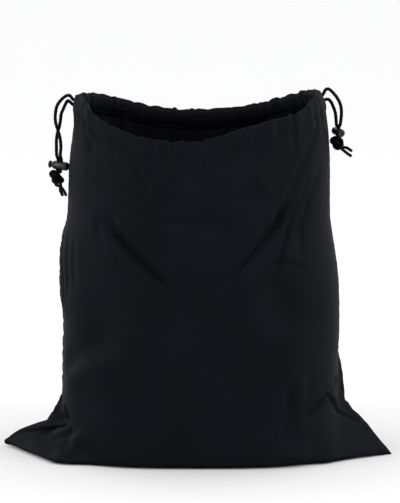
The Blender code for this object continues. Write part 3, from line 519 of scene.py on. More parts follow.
def slack_tensor(side):
    """Spare length at each point of the grid as a symmetric 2x2 tensor (level, upright), and how
    much the cloth resists bending there, which sets the pitch of its wrinkles."""
    across, up = (AT[side] - 0.5) * 430, UP[side]
    t = np.zeros((*across.shape, 3))  # xx, zz, xz
    stiff, total = np.full(across.shape, 0.15 * stiffness(30, 2.0)), np.full(across.shape, 0.15)

    def add(weight, pushed, spare, pitch):
        nonlocal stiff, total
        a = math.radians(pushed)
        t[..., 0] += weight * spare * SLACKER / 100 * math.cos(a) ** 2
        t[..., 1] += weight * spare * SLACKER / 100 * math.sin(a) ** 2
        t[..., 2] += weight * spare * SLACKER / 100 * math.sin(a) * math.cos(a)
        stiff = stiff + weight * stiffness(pitch, spare)
        total = total + weight

    for _, x0, z0, x1, z1, wide, pushed, spare, pitch in FRONT_SLACK if side == "front" else BACK_SLACK:
        dx, dz = x1 - x0, z1 - z0
        length = math.hypot(dx, dz)
        s = np.clip(((across - x0) * dx + (up - z0) * dz) / length**2, 0, 1)
        away = np.hypot(across - x0 - s * dx, up - z0 - s * dz)
        add(np.exp(-((away / wide) ** 2)), pushed, spare, pitch)
    below_rim = rim_height(side, AT[side]) - HEM - up
    wall = up > 0
    hem = np.where(below_rim < 0, 1.0, np.exp(-np.clip(below_rim, 0, None) / 12))
    gather = 0.75 + 0.45 * np.cos(across * 0.061 + (1.1 if side == "front" else 2.3)) * np.cos(across * 0.023)
    add(np.where(wall, hem * gather, 0), 0, 5.0, 15)
    edge = np.minimum(AT[side], 1 - AT[side]) * 430
    add(np.where(wall, np.exp(-edge / 9), 0), 90, 3.0, 13)
    t[..., 0] += np.where(wall, 0.0035, 0.001)
    t[..., 1] += np.where(wall, 0.0035, 0.001)
    return t, stiff / total


CELL = 430 / (COLUMNS - 1)
SLACKER = 2.3  # how much more spare length than the tables give


def stiffness(pitch, spare):
    """Bending stiffness at which cloth with that spare length (percent) wrinkles at that pitch."""
    return min(0.06, (pitch / (2 * math.pi * CELL)) ** 2 * spare / 100 / 5)


def wander(shape, seed, scale):
    """Smooth unevenness between about -1 and 1 over a grid, made from a few waves."""
    rng = np.random.default_rng(seed)
    i, j = np.meshgrid(np.arange(shape[0]), np.arange(shape[1]), indexing="ij")
    total = np.zeros(shape)
    for _ in range(60):
        a, f, ph = rng.uniform(0, 2 * math.pi), rng.uniform(0.5, 1.6) / scale, rng.uniform(0, 2 * math.pi)
        total += np.sin(2 * math.pi * f * (i * math.cos(a) + j * math.sin(a)) + ph)
    return total / math.sqrt(30)


def blur(field, reach, times=2):
    """Mean over a window of 2 x reach + 1 both ways, repeated."""
    for _ in range(times):
        for axis in (0, 1):
            n = field.shape[axis]
            total = np.concatenate([np.zeros_like(np.take(field, [0], axis)), np.cumsum(field, axis)], axis)
            i = np.arange(n)
            hi, lo = np.minimum(i + reach + 1, n), np.maximum(i - reach, 0)
            count = (hi - lo).reshape([-1 if k == axis else 1 for k in range(field.ndim)])
            field = (np.take(total, hi, axis) - np.take(total, lo, axis)) / count
    return field


def grid_normals(p, sign):
    du = np.gradient(p, axis=1)
    dv = np.gradient(p, axis=0)
    n = sign * np.cross(du, dv)
    return n / np.maximum(np.linalg.norm(n, axis=-1, keepdims=True), 1e-9)


def laplacian(f):
    out = np.zeros_like(f)
    out[:, 1:-1] += f[:, :-2] + f[:, 2:] - 2 * f[:, 1:-1]
    out[:, :, 1:-1] += f[:, :, :-2] + f[:, :, 2:] - 2 * f[:, :, 1:-1]
    return out


def relax(a, b, rest, hold_a, hold_b):
    """Moves two slices of points so that each pair comes to its rest length."""
    d = b - a
    length = np.maximum(np.sqrt(np.einsum("...k,...k->...", d, d)), 1e-6)
    step = d * ((length - rest) / length * 0.5)[..., None]
    a += step * hold_a
    b -= step * hold_b


def wrinkle(steps):
    """Lets the slack cloth buckle about its target: every thread keeps its length, the cloth
    resists bending, the two panels stay sewn together and nothing goes through the floor."""
    sides = ("front", "back")
    target = np.stack([TARGET[s] for s in sides])
    both = [slack_tensor(s) for s in sides]
    tensor, stiff = np.stack([b[0] for b in both]), np.stack([b[1] for b in both])[..., None]
    normal = np.stack([grid_normals(target[0], 1), grid_normals(target[1], -1)])
    start = np.stack([wander(target.shape[1:3], 5 + k, 9) * 0.5 + wander(target.shape[1:3], 11 + k, 5) * 0.35 for k in (0, 1)])
    p = target + normal * start[..., None]
    free = np.ones(target.shape[:3])
    free[:, :FIRST_WALL] *= np.linspace(0, 0.6, FIRST_WALL)[None, :, None]
    free = free[..., None]

    def rest_of(a, b, ta, tb):
        d = b - a
        length = np.linalg.norm(d, axis=-1)
        flat = (ta + tb) / 2
        level = np.linalg.norm(d[..., :2], axis=-1) / np.maximum(length, 1e-6)
        return length, flat, level

    springs = []
    cells = ((0, 1, "h"), (1, 0, "v"), (1, 1, "d"), (1, -1, "e"))
    width = 430 / (COLUMNS - 1)
    for di, dj, kind in cells:
        if dj < 0:
            a, b = target[:, :-1, 1:], target[:, 1:, :-1]
            t = (tensor[:, :-1, 1:] + tensor[:, 1:, :-1]) / 2
        else:
            rows = target.shape[1] - di
            cols = target.shape[2] - dj
            a, b = target[:, :rows, :cols], target[:, di:, dj:]
            t = (tensor[:, :rows, :cols] + tensor[:, di:, dj:]) / 2
        length = np.linalg.norm(b - a, axis=-1)
        v_step = np.linalg.norm(target[:, 1:] - target[:, :-1], axis=-1).mean()
        ex = dj * width
        ez = di * v_step
        norm = math.hypot(ex, ez)
        ex, ez = ex / norm, ez / norm
        spare = t[..., 0] * ex * ex + t[..., 1] * ez * ez + 2 * t[..., 2] * ex * ez
        springs.append((kind, length * (1 + spare)))
    rest = dict(springs)
    speed = np.zeros_like(p)
    d_old = p - target
    for step in range(steps):
        before = p.copy()
        p += speed * 0.88
        for first in (0, 1):
            h = rest["h"][:, :, first::2]
            n = h.shape[2]
            a, b = p[:, :, first : first + 2 * n : 2], p[:, :, first + 1 : first + 1 + 2 * n : 2]
            relax(a, b, h, free[:, :, first : first + 2 * n : 2], free[:, :, first + 1 : first + 1 + 2 * n : 2])
            v = rest["v"][:, first::2]
            n = v.shape[1]
            a, b = p[:, first : first + 2 * n : 2], p[:, first + 1 : first + 1 + 2 * n : 2]
            relax(a, b, v, free[:, first : first + 2 * n : 2], free[:, first + 1 : first + 1 + 2 * n : 2])
            d = rest["d"][:, first::2]
            n = d.shape[1]
            lo, hi = slice(first, first + 2 * n, 2), slice(first + 1, first + 1 + 2 * n, 2)
            relax(p[:, lo, :-1], p[:, hi, 1:], d, free[:, lo, :-1] * 0.5, free[:, hi, 1:] * 0.5)
            e = rest["e"][:, first::2]
            relax(p[:, lo, 1:], p[:, hi, :-1], e, free[:, lo, 1:] * 0.5, free[:, hi, :-1] * 0.5)
        off = p - target
        off = off * (1 - HOLD)
        for _ in range(3):
            off = off - stiff / 3 * laplacian(laplacian(off))
        if step % 12 == 11:
            for k in (0, 1):
                off[k] -= blur(off[k], 9) * 0.5
        size = np.linalg.norm(off, axis=-1, keepdims=True)
        off *= np.minimum(1, 4.5 / np.maximum(size, 1e-6))
        p = target + off
        # sewn down both sides and along the bottom
        for column in (0, -1):
            sewn = (p[0, :FIRST_HEM, column] + p[1, :FIRST_HEM, column]) / 2
            p[0, :FIRST_HEM, column] = p[1, :FIRST_HEM, column] = sewn * 0.7 + target[0, :FIRST_HEM, column] * 0.3
        p[:, 0] = target[:, 0]
        p[..., 2] = np.maximum(p[..., 2], np.minimum(target[..., 2], 0.0))
        speed = p - before
    off = p - target
    for k in (0, 1):
        low = blur(off[k], 9)
        off[k] -= low * 0.9
    p = target + off
    p[..., 2] = np.maximum(p[..., 2], np.minimum(target[..., 2], 0.0))
    for column in (0, -1):
        sewn = (p[0, :FIRST_HEM, column] + p[1, :FIRST_HEM, column]) / 2
        p[0, :FIRST_HEM, column] = p[1, :FIRST_HEM, column] = sewn
    return {"front": p[0], "back": p[1]}


HOLD = 0.0015

WRINKLED = wrinkle(150)

# ------------------------------------------------------------------ meshes


def to_frame(points):
    return (np.asarray(points, float) + SHIFT) * MM


def new_mesh(name, points, faces, smooth=True):
    mesh = bpy.data.meshes.new(name)
    mesh.from_pydata([tuple(p) for p in points], [], [tuple(int(i) for i in f) for f in faces])
    mesh.update()
    obj = bpy.data.objects.new(name, mesh)
    bpy.context.scene.collection.objects.link(obj)
    if smooth:
        mesh.shade_smooth()
    return obj


def grid_faces(rows, cols, start=0, flip=False):
    i, j = np.meshgrid(np.arange(rows - 1), np.arange(cols - 1), indexing="ij")
    a = start + i * cols + j
    quad = np.stack([a, a + 1, a + cols + 1, a + cols], -1).reshape(-1, 4)
    return quad[:, ::-1] if flip else quad


FLAP_GAP = ((-2.2, 0.15), (0.0, 0.15), (2.5, 1.6), (5.5, 4.7), (12.6, 5.2), (15.0, 4.9), (16.5, 4.2), (18.3, 1.4))
FLAP_ROWS = 10
TURN_ROWS = 4
ALLOWANCE = (8.0, 4.0, 0.9)


def at_height(p, h):
    """Points of the hem's outer face at a height above the stitch line."""
    k = np.clip(h / HEM_TOP * (HEM_ROWS - 1), -3, HEM_ROWS - 1.001)
    low = int(math.floor(k))
    return p[FIRST_HEM + low] + (p[FIRST_HEM + low + 1] - p[FIRST_HEM + low]) * (k - low)


def cloth_sheet(side):
    """The whole cut of cloth as one grid: bottom seam allowance, floor, wall, hem, the turn at the
    rim, the flap inside, and the side seam allowances."""
    p = WRINKLED[side]
    sign = 1 if side == "front" else -1
    other = WRINKLED["back" if side == "front" else "front"]
    n = grid_normals(p, sign)
    out = n[FIRST_HEM:].mean(0) * (1, 1, 0.2)
    out = blur(out[None], 2)[0]
    out /= np.linalg.norm(out, axis=-1, keepdims=True)
    rows = list(p)
    top = p[-1]
    gap_top = np.interp(HEM_TOP, *zip(*FLAP_GAP)) + 2 * CLOTH_SEEN
    r = gap_top / 2
    for k in range(1, TURN_ROWS + 1):
        a = math.pi * k / (TURN_ROWS + 1)
        rows.append(top - out * (r - r * math.cos(a)) + np.array([0, 0, 1.0]) * math.sin(a) * (HEM - HEM_TOP))
    calm = TARGET[side] + (p - TARGET[side]) * 0.75
    for h in np.linspace(HEM_TOP, -2.2, FLAP_ROWS):
        base = at_height(calm, h) if 0 <= h < HEM_TOP - 0.01 else at_height(p, h)
        rows.append(base - out * (np.interp(h, *zip(*FLAP_GAP)) + 2 * CLOTH_SEEN))
    # bottom seam allowance, folded to the back
    seam = p[0]
    depth = np.abs(WRINKLED["back"][FIRST_WALL, :, 1] - seam[:, 1])
    room = np.clip(depth * 0.6, 0.05, 8.0) / 8.0
    below = []
    for w in ALLOWANCE:
        lift = 1.62 if side == "front" else 1.5
        q = seam + np.stack([0 * room, w * room, lift * np.clip(room * 2, 0.05, 1) * (1 if w > 1 else 0.75)], -1)
        below.append(q)
    sheet = np.array(below + rows)
    # side seam allowances
    left_cols, right_cols = [], []
    wall_rows = len(below) + FIRST_HEM
    count = len(sheet)
    n_all = grid_normals(sheet, sign)
    h_of = np.concatenate([np.full(wall_rows, -50.0), np.linspace(0, HEM_TOP, HEM_ROWS), np.full(count - wall_rows - HEM_ROWS, 20.0)])
    zone = smooth_step((h_of + 1) / 5)[:, None]
    for column, step, store in ((0, 1, left_cols), (-1, -1, right_cols)):
        edge = sheet[:, column]
        near = (p[:, column + 6 * step] + other[:, column + 6 * step]) / 2 - (p[:, column] + other[:, column]) / 2
        near = blur(near[:, None], 14, 0)[:, 0] + np.array([2.5 * step, 0, 0])
        near = np.concatenate([np.repeat(near[:1], len(below), 0), near, np.repeat(near[-1:], count - len(below) - len(near), 0)])
        near[:, 2] = 0
        near /= np.linalg.norm(near, axis=-1, keepdims=True)
        along = sheet[:, column + 3 * step] - sheet[:, column]
        along /= np.linalg.norm(along, axis=-1, keepdims=True)
        beside = np.array([0, -1.0 * sign, 0])
        for w in ALLOWANCE:
            inside = edge + near * w + beside * 0.06
            turned = edge + along * w - n_all[:, column] * (0.95 if w > 1 else 0.5)
            store.append(inside * (1 - zone) + turned * zone)
    sheet = np.concatenate([np.stack(left_cols, 1), sheet, np.stack(right_cols[::-1], 1)], 1)
    return sheet, sign


def cloth_object(name, side):
    sheet, sign = cloth_sheet(side)
    rows, cols = sheet.shape[:2]
    n = grid_normals(sheet, sign)
    n = blur(n, 1, 1) * 0.5 + n * 0.5
    n /= np.maximum(np.linalg.norm(n, axis=-1, keepdims=True), 1e-9)
    inner = sheet - n * CLOTH_SEEN
    points = to_frame(np.concatenate([sheet.reshape(-1, 3), inner.reshape(-1, 3)]))
    size = rows * cols
    flip = sign < 0
    faces = [grid_faces(rows, cols, 0, flip), grid_faces(rows, cols, size, not flip)]
    ring = np.concatenate([
        np.arange(cols - 1), cols - 1 + cols * np.arange(rows - 1),
        (rows - 1) * cols + np.arange(cols - 1, 0, -1), cols * np.arange(rows - 1, 0, -1),
    ])
    nxt = np.roll(ring, -1)
    band = np.stack([ring, ring + size, nxt + size, nxt], -1)
    faces.append(band[:, ::-1] if flip else band)
    obj = new_mesh(name, points, np.concatenate(faces))
    # the cut's own flat measures, for the weave
    mid = sheet[:, cols // 2]
    run = np.concatenate([[0], np.cumsum(np.linalg.norm(np.diff(mid, axis=0), axis=1))])
    u = np.concatenate([-np.array(ALLOWANCE), np.linspace(0, 430, COLUMNS), 430 + np.array(ALLOWANCE[::-1])]) + 10
    uv = np.stack(np.meshgrid(u, run, indexing="xy"), -1) / 500
    flat = np.concatenate([uv.reshape(-1, 2)] * 2)
    layer = obj.data.uv_layers.new(name="cut")
    index = np.zeros(len(obj.data.loops), np.int32)
    obj.data.loops.foreach_get("vertex_index", index)
    layer.data.foreach_set("uv", flat[index].astype(np.float32).ravel())
    return obj, sheet, n


def tube(name, points, radius, sides=10, relief=None, ends=(True, True)):
    """A closed round tube along the points (mm), with rounded ends. relief(turn, run) gives how far
    its surface stands out, as a share of the radius."""
    points = np.asarray(points, float)
    tangent = np.gradient(points, axis=0)
    tangent /= np.linalg.norm(tangent, axis=1, keepdims=True)
    run = np.concatenate([[0], np.cumsum(np.linalg.norm(np.diff(points, axis=0), axis=1))])
    side = np.zeros_like(points)
    v = np.array([0.31, 0.9, 0.17])
    for i, t in enumerate(tangent):
        v = v - t * v.dot(t)
        v /= np.linalg.norm(v)
        side[i] = v
    other = np.cross(tangent, side)
    turn = 2 * math.pi * np.arange(sides) / sides
    r = np.full((len(points), sides), float(radius))
    if relief is not None:
        r *= 1 + relief(turn[None, :], run[:, None])
    centres = points.copy()
    caps = []
    for k, at_end in enumerate(ends):
        if at_end:
            i = 0 if k == 0 else -1
            sign = -1 if k == 0 else 1
            for s in (0.55, 0.85, 0.98):
                caps.append((k, points[i] + sign * tangent[i] * radius * s * 0.6, math.sqrt(max(0.0, 1 - s * s)), i))
    first = [c for c in caps if c[0] == 0][::-1]
    last = [c for c in caps if c[0] == 1]
    rings = []
    for _, at, share, i in first:
        rings.append(at + (side[i] * np.cos(turn)[:, None] + other[i] * np.sin(turn)[:, None]) * (r[i] * share)[:, None])
    for i in range(len(points)):
        rings.append(centres[i] + (side[i] * np.cos(turn)[:, None] + other[i] * np.sin(turn)[:, None]) * r[i][:, None])
    for _, at, share, i in last:
        rings.append(at + (side[i] * np.cos(turn)[:, None] + other[i] * np.sin(turn)[:, None]) * (r[i] * share)[:, None])
    rings = np.array(rings)
    count = len(rings)
    i, j = np.meshgrid(np.arange(count - 1), np.arange(sides), indexing="ij")
    a = i * sides + j
    b = i * sides + (j + 1) % sides
    faces = np.stack([a, b, b + sides, a + sides], -1).reshape(-1, 4).tolist()
    faces.append(list(range(sides))[::-1])
    faces.append([(count - 1) * sides + k for k in range(sides)])
    obj = new_mesh(name, to_frame(rings.reshape(-1, 3)), faces)
    length = np.concatenate([np.full(len(first), run[0]), run, np.full(len(last), run[-1])])
    layer = obj.data.uv_layers.new(name="cut")
    index = np.zeros(len(obj.data.loops), np.int32)
    obj.data.loops.foreach_get("vertex_index", index)
    around, on = (index % sides) / sides, length[index // sides]
    layer.data.foreach_set("uv", np.stack([around, on / 1000], 1).astype(np.float32).ravel())
    return obj


def braid(turn, run):
    """Relief of a 16-strand braid: two sets of flat strands that pass over and under each other."""
    a = 4 * turn / (2 * math.pi) + run / 4.2
    b = 4 * turn / (2 * math.pi) - run / 4.2
    odd = (np.floor(a) + np.floor(b)) % 2
    sa, sb = np.abs(np.sin(math.pi * a)), np.abs(np.sin(math.pi * b))
    over_a = sa**0.45 * (0.55 + 0.45 * sb**0.8)
    over_b = sb**0.45 * (0.55 + 0.45 * sa**0.8)
    h = np.where(odd > 0.5, over_a, over_b)
    return -0.10 + 0.15 * h


def smooth_route(points, spacing):
    """Points at an even spacing along one smooth curve through the given ones."""
    points = np.asarray(points, float)
    run = np.concatenate([[0], np.cumsum(np.linalg.norm(np.diff(points, axis=0), axis=1) ** 0.5)])
    tangent = np.zeros_like(points)
    tangent[1:-1] = (points[2:] - points[:-2]) / (run[2:] - run[:-2])[:, None]
    tangent[0] = 2 * (points[1] - points[0]) / (run[1] - run[0]) - tangent[1]
    tangent[-1] = 2 * (points[-1] - points[-2]) / (run[-1] - run[-2]) - tangent[-2]
    fine = []
    for k in range(len(points) - 1):
        h = run[k + 1] - run[k]
        for t in np.linspace(0, 1, 24, endpoint=False):
            fine.append(
                (1 + 2 * t) * (1 - t) ** 2 * points[k]
                + t * (1 - t) ** 2 * h * tangent[k]
                + t * t * (3 - 2 * t) * points[k + 1]
                + t * t * (t - 1) * h * tangent[k + 1]
            )
    fine = np.array([*fine, points[-1]])
    length = np.concatenate([[0], np.cumsum(np.linalg.norm(np.diff(fine, axis=0), axis=1))])
    even = np.linspace(0, length[-1], max(2, round(length[-1] / spacing) + 1))
    return np.stack([np.interp(even, length, fine[:, k]) for k in range(3)], 1)


def lock_frame(row):
    """The lock's own frame: x along its axis towards the closed end, z up the cords."""
    _, x, y, z, heading, dip = row
    heading, dip = math.radians(heading), math.radians(dip)
    axis = Vector((math.cos(heading) * math.cos(dip), -math.sin(heading) * math.cos(dip), -math.sin(dip)))
    up = (Vector((0, 0, 1)) - axis * axis.z).normalized()
    across = up.cross(axis)
    return Vector((x, y, z)), axis, across, up


def in_lock(row, along, rise):
    at, axis, _, up = lock_frame(row)
    return np.array(at) + np.array(axis) * along + np.array(up) * rise


def casing_run(side, height):
    """The middle of the casing at a height above the stitch line, left end to right end."""
    p = TARGET[side] + (WRINKLED[side] - TARGET[side]) * 0.75
    n = blur(grid_normals(p, 1 if side == "front" else -1), 2)
    n /= np.linalg.norm(n, axis=-1, keepdims=True)
    inward = CLOTH_SEEN + CORD / 2 + 0.7
    k = height / HEM_TOP * (HEM_ROWS - 1)
    low = int(k)
    q = p - n * inward
    return (q[FIRST_HEM + low] + (q[FIRST_HEM + low + 1] - q[FIRST_HEM + low]) * (k - low))[::2]


STRANDS = {
    "left": (LEFT_FRONT_STRAND, LEFT_BACK_STRAND, (0.5, -0.5), CORD_HIGH, CORD_LOW),
    "right": (RIGHT_FRONT_STRAND, RIGHT_BACK_STRAND, (-0.5, 0.5), CORD_LOW, CORD_HIGH),
}
KNOT_AT = {"left": LEFT_KNOT_AT, "right": RIGHT_KNOT_AT}
BELOW_LOCK = BARREL_D / 2 + 0.8
declared = []
cord_pieces = []
for row in LOCKS:
    side = row[0]
    front_free, back_free, places, front_h, back_h = STRANDS[side]
    runs = {"front": casing_run("front", front_h), "back": casing_run("back", back_h)}
    if side == "right":
        runs = {k: v[::-1] for k, v in runs.items()}
    inner_ends = {}
    for which, free, place in (("front", front_free, places[0]), ("back", back_free, places[1])):
        through = [in_lock(row, place * CORD_PITCH, rise) for rise in (6.5, 0.0, -BELOW_LOCK)]
        run = runs[which]
        out = run[0] + (run[0] - run[1]) / np.linalg.norm(run[0] - run[1]) * 2.0
        start = run[0] + (run[1] - run[0]) / np.linalg.norm(run[0] - run[1]) * 4.0
        low = through[2] + (through[2] - through[1]) / np.linalg.norm(through[2] - through[1]) * 2.0
        route = smooth_route([start, run[0], out, *free, through[0], through[1], through[2], low], 0.4)
        piece = tube(f"{side}_{which}_strand", route, CORD / 2, 28, braid)
        declared.append((piece, side, which, route, run[0]))
        cord_pieces.append(piece)
        inner_ends[which] = start
    a, b = runs["front"], runs["back"]
    out_a = a[-1] + (a[-1] - a[-2]) / np.linalg.norm(a[-1] - a[-2]) * 0.8
    out_b = b[-1] + (b[-1] - b[-2]) / np.linalg.norm(b[-1] - b[-2]) * 0.8
    inside = smooth_route([inner_ends["front"], *a[1:], out_a, out_b, *b[1:][::-1], inner_ends["back"]], 2.0)
    piece = tube(f"{side}_cord_in_casing", inside, CORD / 2 - 0.05, 12)
    cord_pieces.append(piece)
    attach(piece, "root")
    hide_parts(f"{side}_drawcord")

# ------------------------------------------------------------------ cloth panels

panels = {}
for side in ("front", "back"):
    obj, sheet, normals = cloth_object(f"{side}_cloth", side)
    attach(obj, "root")
    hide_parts(f"{side}_panel")
    panels[side] = (obj, sheet, normals)


def stitch_row(name, line, out, pitch=3.3, long=2.7, thick=0.2):
    """A row of lockstitches along a line of points, each with its ends pulled into the cloth."""
    run = np.concatenate([[0], np.cumsum(np.linalg.norm(np.diff(line, axis=0), axis=1))])
    shares, sides = (0, 0.12, 0.35, 0.65, 0.88, 1), 6
    rise = (-0.45, 0.5, 0.85, 0.85, 0.5, -0.45)
    points, faces = [], []
    turn = 2 * math.pi * np.arange(sides) / sides
    for k in range(int((run[-1] - 2) / pitch)):
        base = len(points)
        s0 = 1 + k * pitch
        for share, up in zip(shares, rise):
            s = s0 + share * long
            at = np.array([np.interp(s, run, line[:, m]) for m in range(3)])
            n = np.array([np.interp(s, run, out[:, m]) for m in range(3)])
            t = np.array([np.interp(s + 0.3, run, line[:, m]) - np.interp(s - 0.3, run, line[:, m]) for m in range(3)])
            t /= np.linalg.norm(t)
            n = n - t * n.dot(t)
            n /= np.linalg.norm(n)
            b = np.cross(t, n)
            r = thick * (0.75 if share in (0, 1) else 1)
            for a in turn:
                points.append(at + n * up * thick + (n * math.sin(a) + b * math.cos(a)) * r)
        for i in range(len(shares) - 1):
            for j in range(sides):
                a, c = base + i * sides + j, base + i * sides + (j + 1) % sides
                faces.append([a, c, c + sides, a + sides])
        faces.append([base + j for j in range(sides)][::-1])
        faces.append([base + (len(shares) - 1) * sides + j for j in range(sides)])
    obj = new_mesh(name, to_frame(points), faces)
    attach(obj, "root")
    return obj


stitches = []
first = len(ALLOWANCE)
for side in ("front", "back"):
    _, sheet, normals = panels[side]
    row = first + FIRST_HEM
    line = sheet[row, 4:-4] * 0.5 + sheet[row + 1, 4:-4] * 0.5
    stitches.append(stitch_row(f"{side}_hem_stitches", line, normals[row, 4:-4]))
    inner = first + ROWS + TURN_ROWS + FLAP_ROWS - 2
    line = sheet[inner, 4:-4]
    stitches.append(stitch_row(f"{side}_hem_stitches_inside", line, normals[inner, 4:-4]))

# ------------------------------------------------------------------ cord locks


def lathe(name, row, profile, sides=72):
    """A solid turned about the lock's axis: places along the axis and radii, in mm."""
    at, axis, across, up = (np.array(v) for v in lock_frame(row))
    turn = 2 * math.pi * np.arange(sides) / sides
    points, faces, rings = [], [], []
    for x, r in profile:
        if r <= 1e-6:
            rings.append([len(points)] * sides)
            points.append(at + axis * x)
        else:
            rings.append(list(range(len(points), len(points) + sides)))
            points.extend(at + axis * x + (across * np.cos(turn)[:, None] + up * np.sin(turn)[:, None]) * r)
    for low, high in zip(rings, rings[1:]):
        for k in range(sides):
            m = (k + 1) % sides
            face = list(dict.fromkeys([low[k], low[m], high[m], high[k]]))
            if len(face) > 2:
                faces.append(face)
    return new_mesh(name, to_frame(points), faces, False)


def oblong_cutter(row, start, end, half, through, length):
    """A round-ended cutter from start to end along the lock's axis, running through z or y."""
    at, axis, across, up = (np.array(v) for v in lock_frame(row))
    run, wide = (up, across) if through == "z" else (across, up)
    a = np.linspace(-math.pi / 2, math.pi / 2, 17)
    outline = [(end - half + half * math.cos(t), half * math.sin(t)) for t in a]
    outline += [(start + half - half * math.cos(t), -half * math.sin(t)) for t in a]
    n = len(outline)
    points = [at + axis * x + wide * w + run * s * length for s in (-0.5, 0.5) for x, w in outline]
    faces = [[k, (k + 1) % n, n + (k + 1) % n, n + k] for k in range(n)]
    faces += [list(range(n))[::-1], list(range(n, 2 * n))]
    return new_mesh("cutter", to_frame(points), faces, False)


def outward(mesh):
    shape = bmesh.new()
    shape.from_mesh(mesh)
    bmesh.ops.recalc_face_normals(shape, faces=shape.faces[:])
    shape.to_mesh(mesh)
    shape.free()


def carve(obj, *cutters):
    """Cuts the cutters out of a solid and rounds what is left for shading."""
    outward(obj.data)
    for cutter in cutters:
        outward(cutter.data)
        cut = obj.modifiers.new("cut", "BOOLEAN")
        cut.operation, cut.solver, cut.object = "DIFFERENCE", "EXACT", cutter
    bpy.context.view_layer.update()
    made = bpy.data.meshes.new_from_object(obj.evaluated_get(bpy.context.evaluated_depsgraph_get()))
    obj.modifiers.clear()
    obj.data = made
    for cutter in cutters:
        bpy.data.objects.remove(cutter, do_unlink=True)
    made.shade_smooth()
    made.set_sharp_from_angle(angle=math.radians(38))


lock_pieces = {}
for row in LOCKS:
    side = row[0]
    r, bore, stem, button = BARREL_D / 2, BORE_D / 2, STEM_D / 2, BUTTON_D / 2
    mouth = -CORDS_IN
    closed, bore_end, neck = mouth + BARREL, mouth + BORE_DEPTH, mouth - NECK
    reach = CORD_PITCH / 2 + CORD / 2 + CLEAR
    barrel = lathe(f"{side}_lock_body", row, (
        (closed - 0.25, 0), (closed - 0.25, 1.1), (closed, 1.5), (closed, r - 2.1), (closed - 0.12, r - 1.5),
        (closed - 0.42, r - 0.85), (closed - 0.9, r - 0.36), (closed - 1.5, r - 0.1), (closed - 2.1, r),
        (closed - 2.6, r), (closed - 2.75, r - 0.22), (closed - 3.1, r - 0.22), (closed - 3.25, r),
        (mouth + 3.0, r), (mouth + 2.3, r - 0.16), (mouth + 1.9, r - 0.16), (mouth + 1.5, r),
        (mouth + 0.85, r), (mouth + 0.4, r - 0.12), (mouth + 0.12, r - 0.36), (mouth, r - 0.7),
        (mouth, bore + 0.25), (mouth + 0.22, bore), (bore_end - 0.6, bore), (bore_end, bore - 0.6), (bore_end, 0),
    ))
    carve(barrel, oblong_cutter(row, -reach, reach, SLOT_W / 2, "z", 3 * r))
    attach(barrel, "root")
    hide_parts(f"{side}_lock_barrel")
    inner = reach + 1.2
    plunger = lathe(f"{side}_lock_button", row, (
        (inner, 0), (inner, stem - 0.5), (inner - 0.15, stem - 0.15), (inner - 0.5, stem), (neck + 1.5, stem),
        (neck + 0.9, stem - 0.12), (neck + 0.45, stem + 0.02), (neck + 0.12, stem + 0.3), (neck, stem + 0.5),
        (neck, button - 0.5), (neck - 0.1, button - 0.18), (neck - 0.35, button), (neck - BUTTON + 1.0, button),
        (neck - BUTTON + 0.5, button - 0.2), (neck - BUTTON + 0.16, button - 0.62), (neck - BUTTON, button - 1.2),
        (neck - BUTTON + 0.08, button - 1.8), (neck - BUTTON + 0.3, button - 2.6), (neck - BUTTON + 0.36, 0),
    ))
    carve(
        plunger,
        oblong_cutter(row, -reach - PRESS, reach, SLOT_W / 2, "z", 3 * r),
        oblong_cutter(row, neck + 0.4, mouth - 0.75, 1.05, "y", 3 * r),
    )
    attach(plunger, f"{side}_button")
    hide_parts(f"{side}_lock_plunger")
    lock_pieces[side] = [barrel, plunger]

# ------------------------------------------------------------------ knots

# An overhand knot tied with both strands together, loose, as one runs through it: to the right,
# towards the back, and up, before it is drawn tight.
KNOTTED = 3.3  # the cord's diameter where the knot squeezes it
LOOSE_KNOT = (
    (0, 0, 24), (0, 0, 14), (-3, -1, 8), (-7, -2, 2), (-6, -1, -5), (0, 1, -8), (7, 2, -4), (7, 3, 3),
    (2, 3, 8), (-6, 2, 9), (-9, -2, 6), (-6, -5, 2), (-1, -4, -1), (2, 0, -4), (3, 5, -9), (4, 5, -16),
    (5, 4, -26),
)


def keep_apart(x, strand, run, gap, share=0.5):
    """Pushes cord apart wherever two stretches of it are nearer than its diameter."""
    d = x[:, None] - x[None]
    dist = np.sqrt((d**2).sum(-1)) + 1e-9
    far = (strand[:, None] != strand[None]) | (np.abs(run[:, None] - run[None]) > 1.6 * gap)
    near = np.where(far & (dist < gap), (gap - dist) / dist, 0)
    count = np.maximum((near > 0).sum(1), 1)
    move = (d * near[..., None]).sum(1) * share / count[:, None] ** 0.5
    return move


def even_out(points, count):
    run = np.concatenate([[0], np.cumsum(np.linalg.norm(np.diff(points, axis=0), axis=1))])
    at = np.linspace(0, run[-1], count)
    return np.stack([np.interp(at, run, points[:, k]) for k in range(3)], 1)


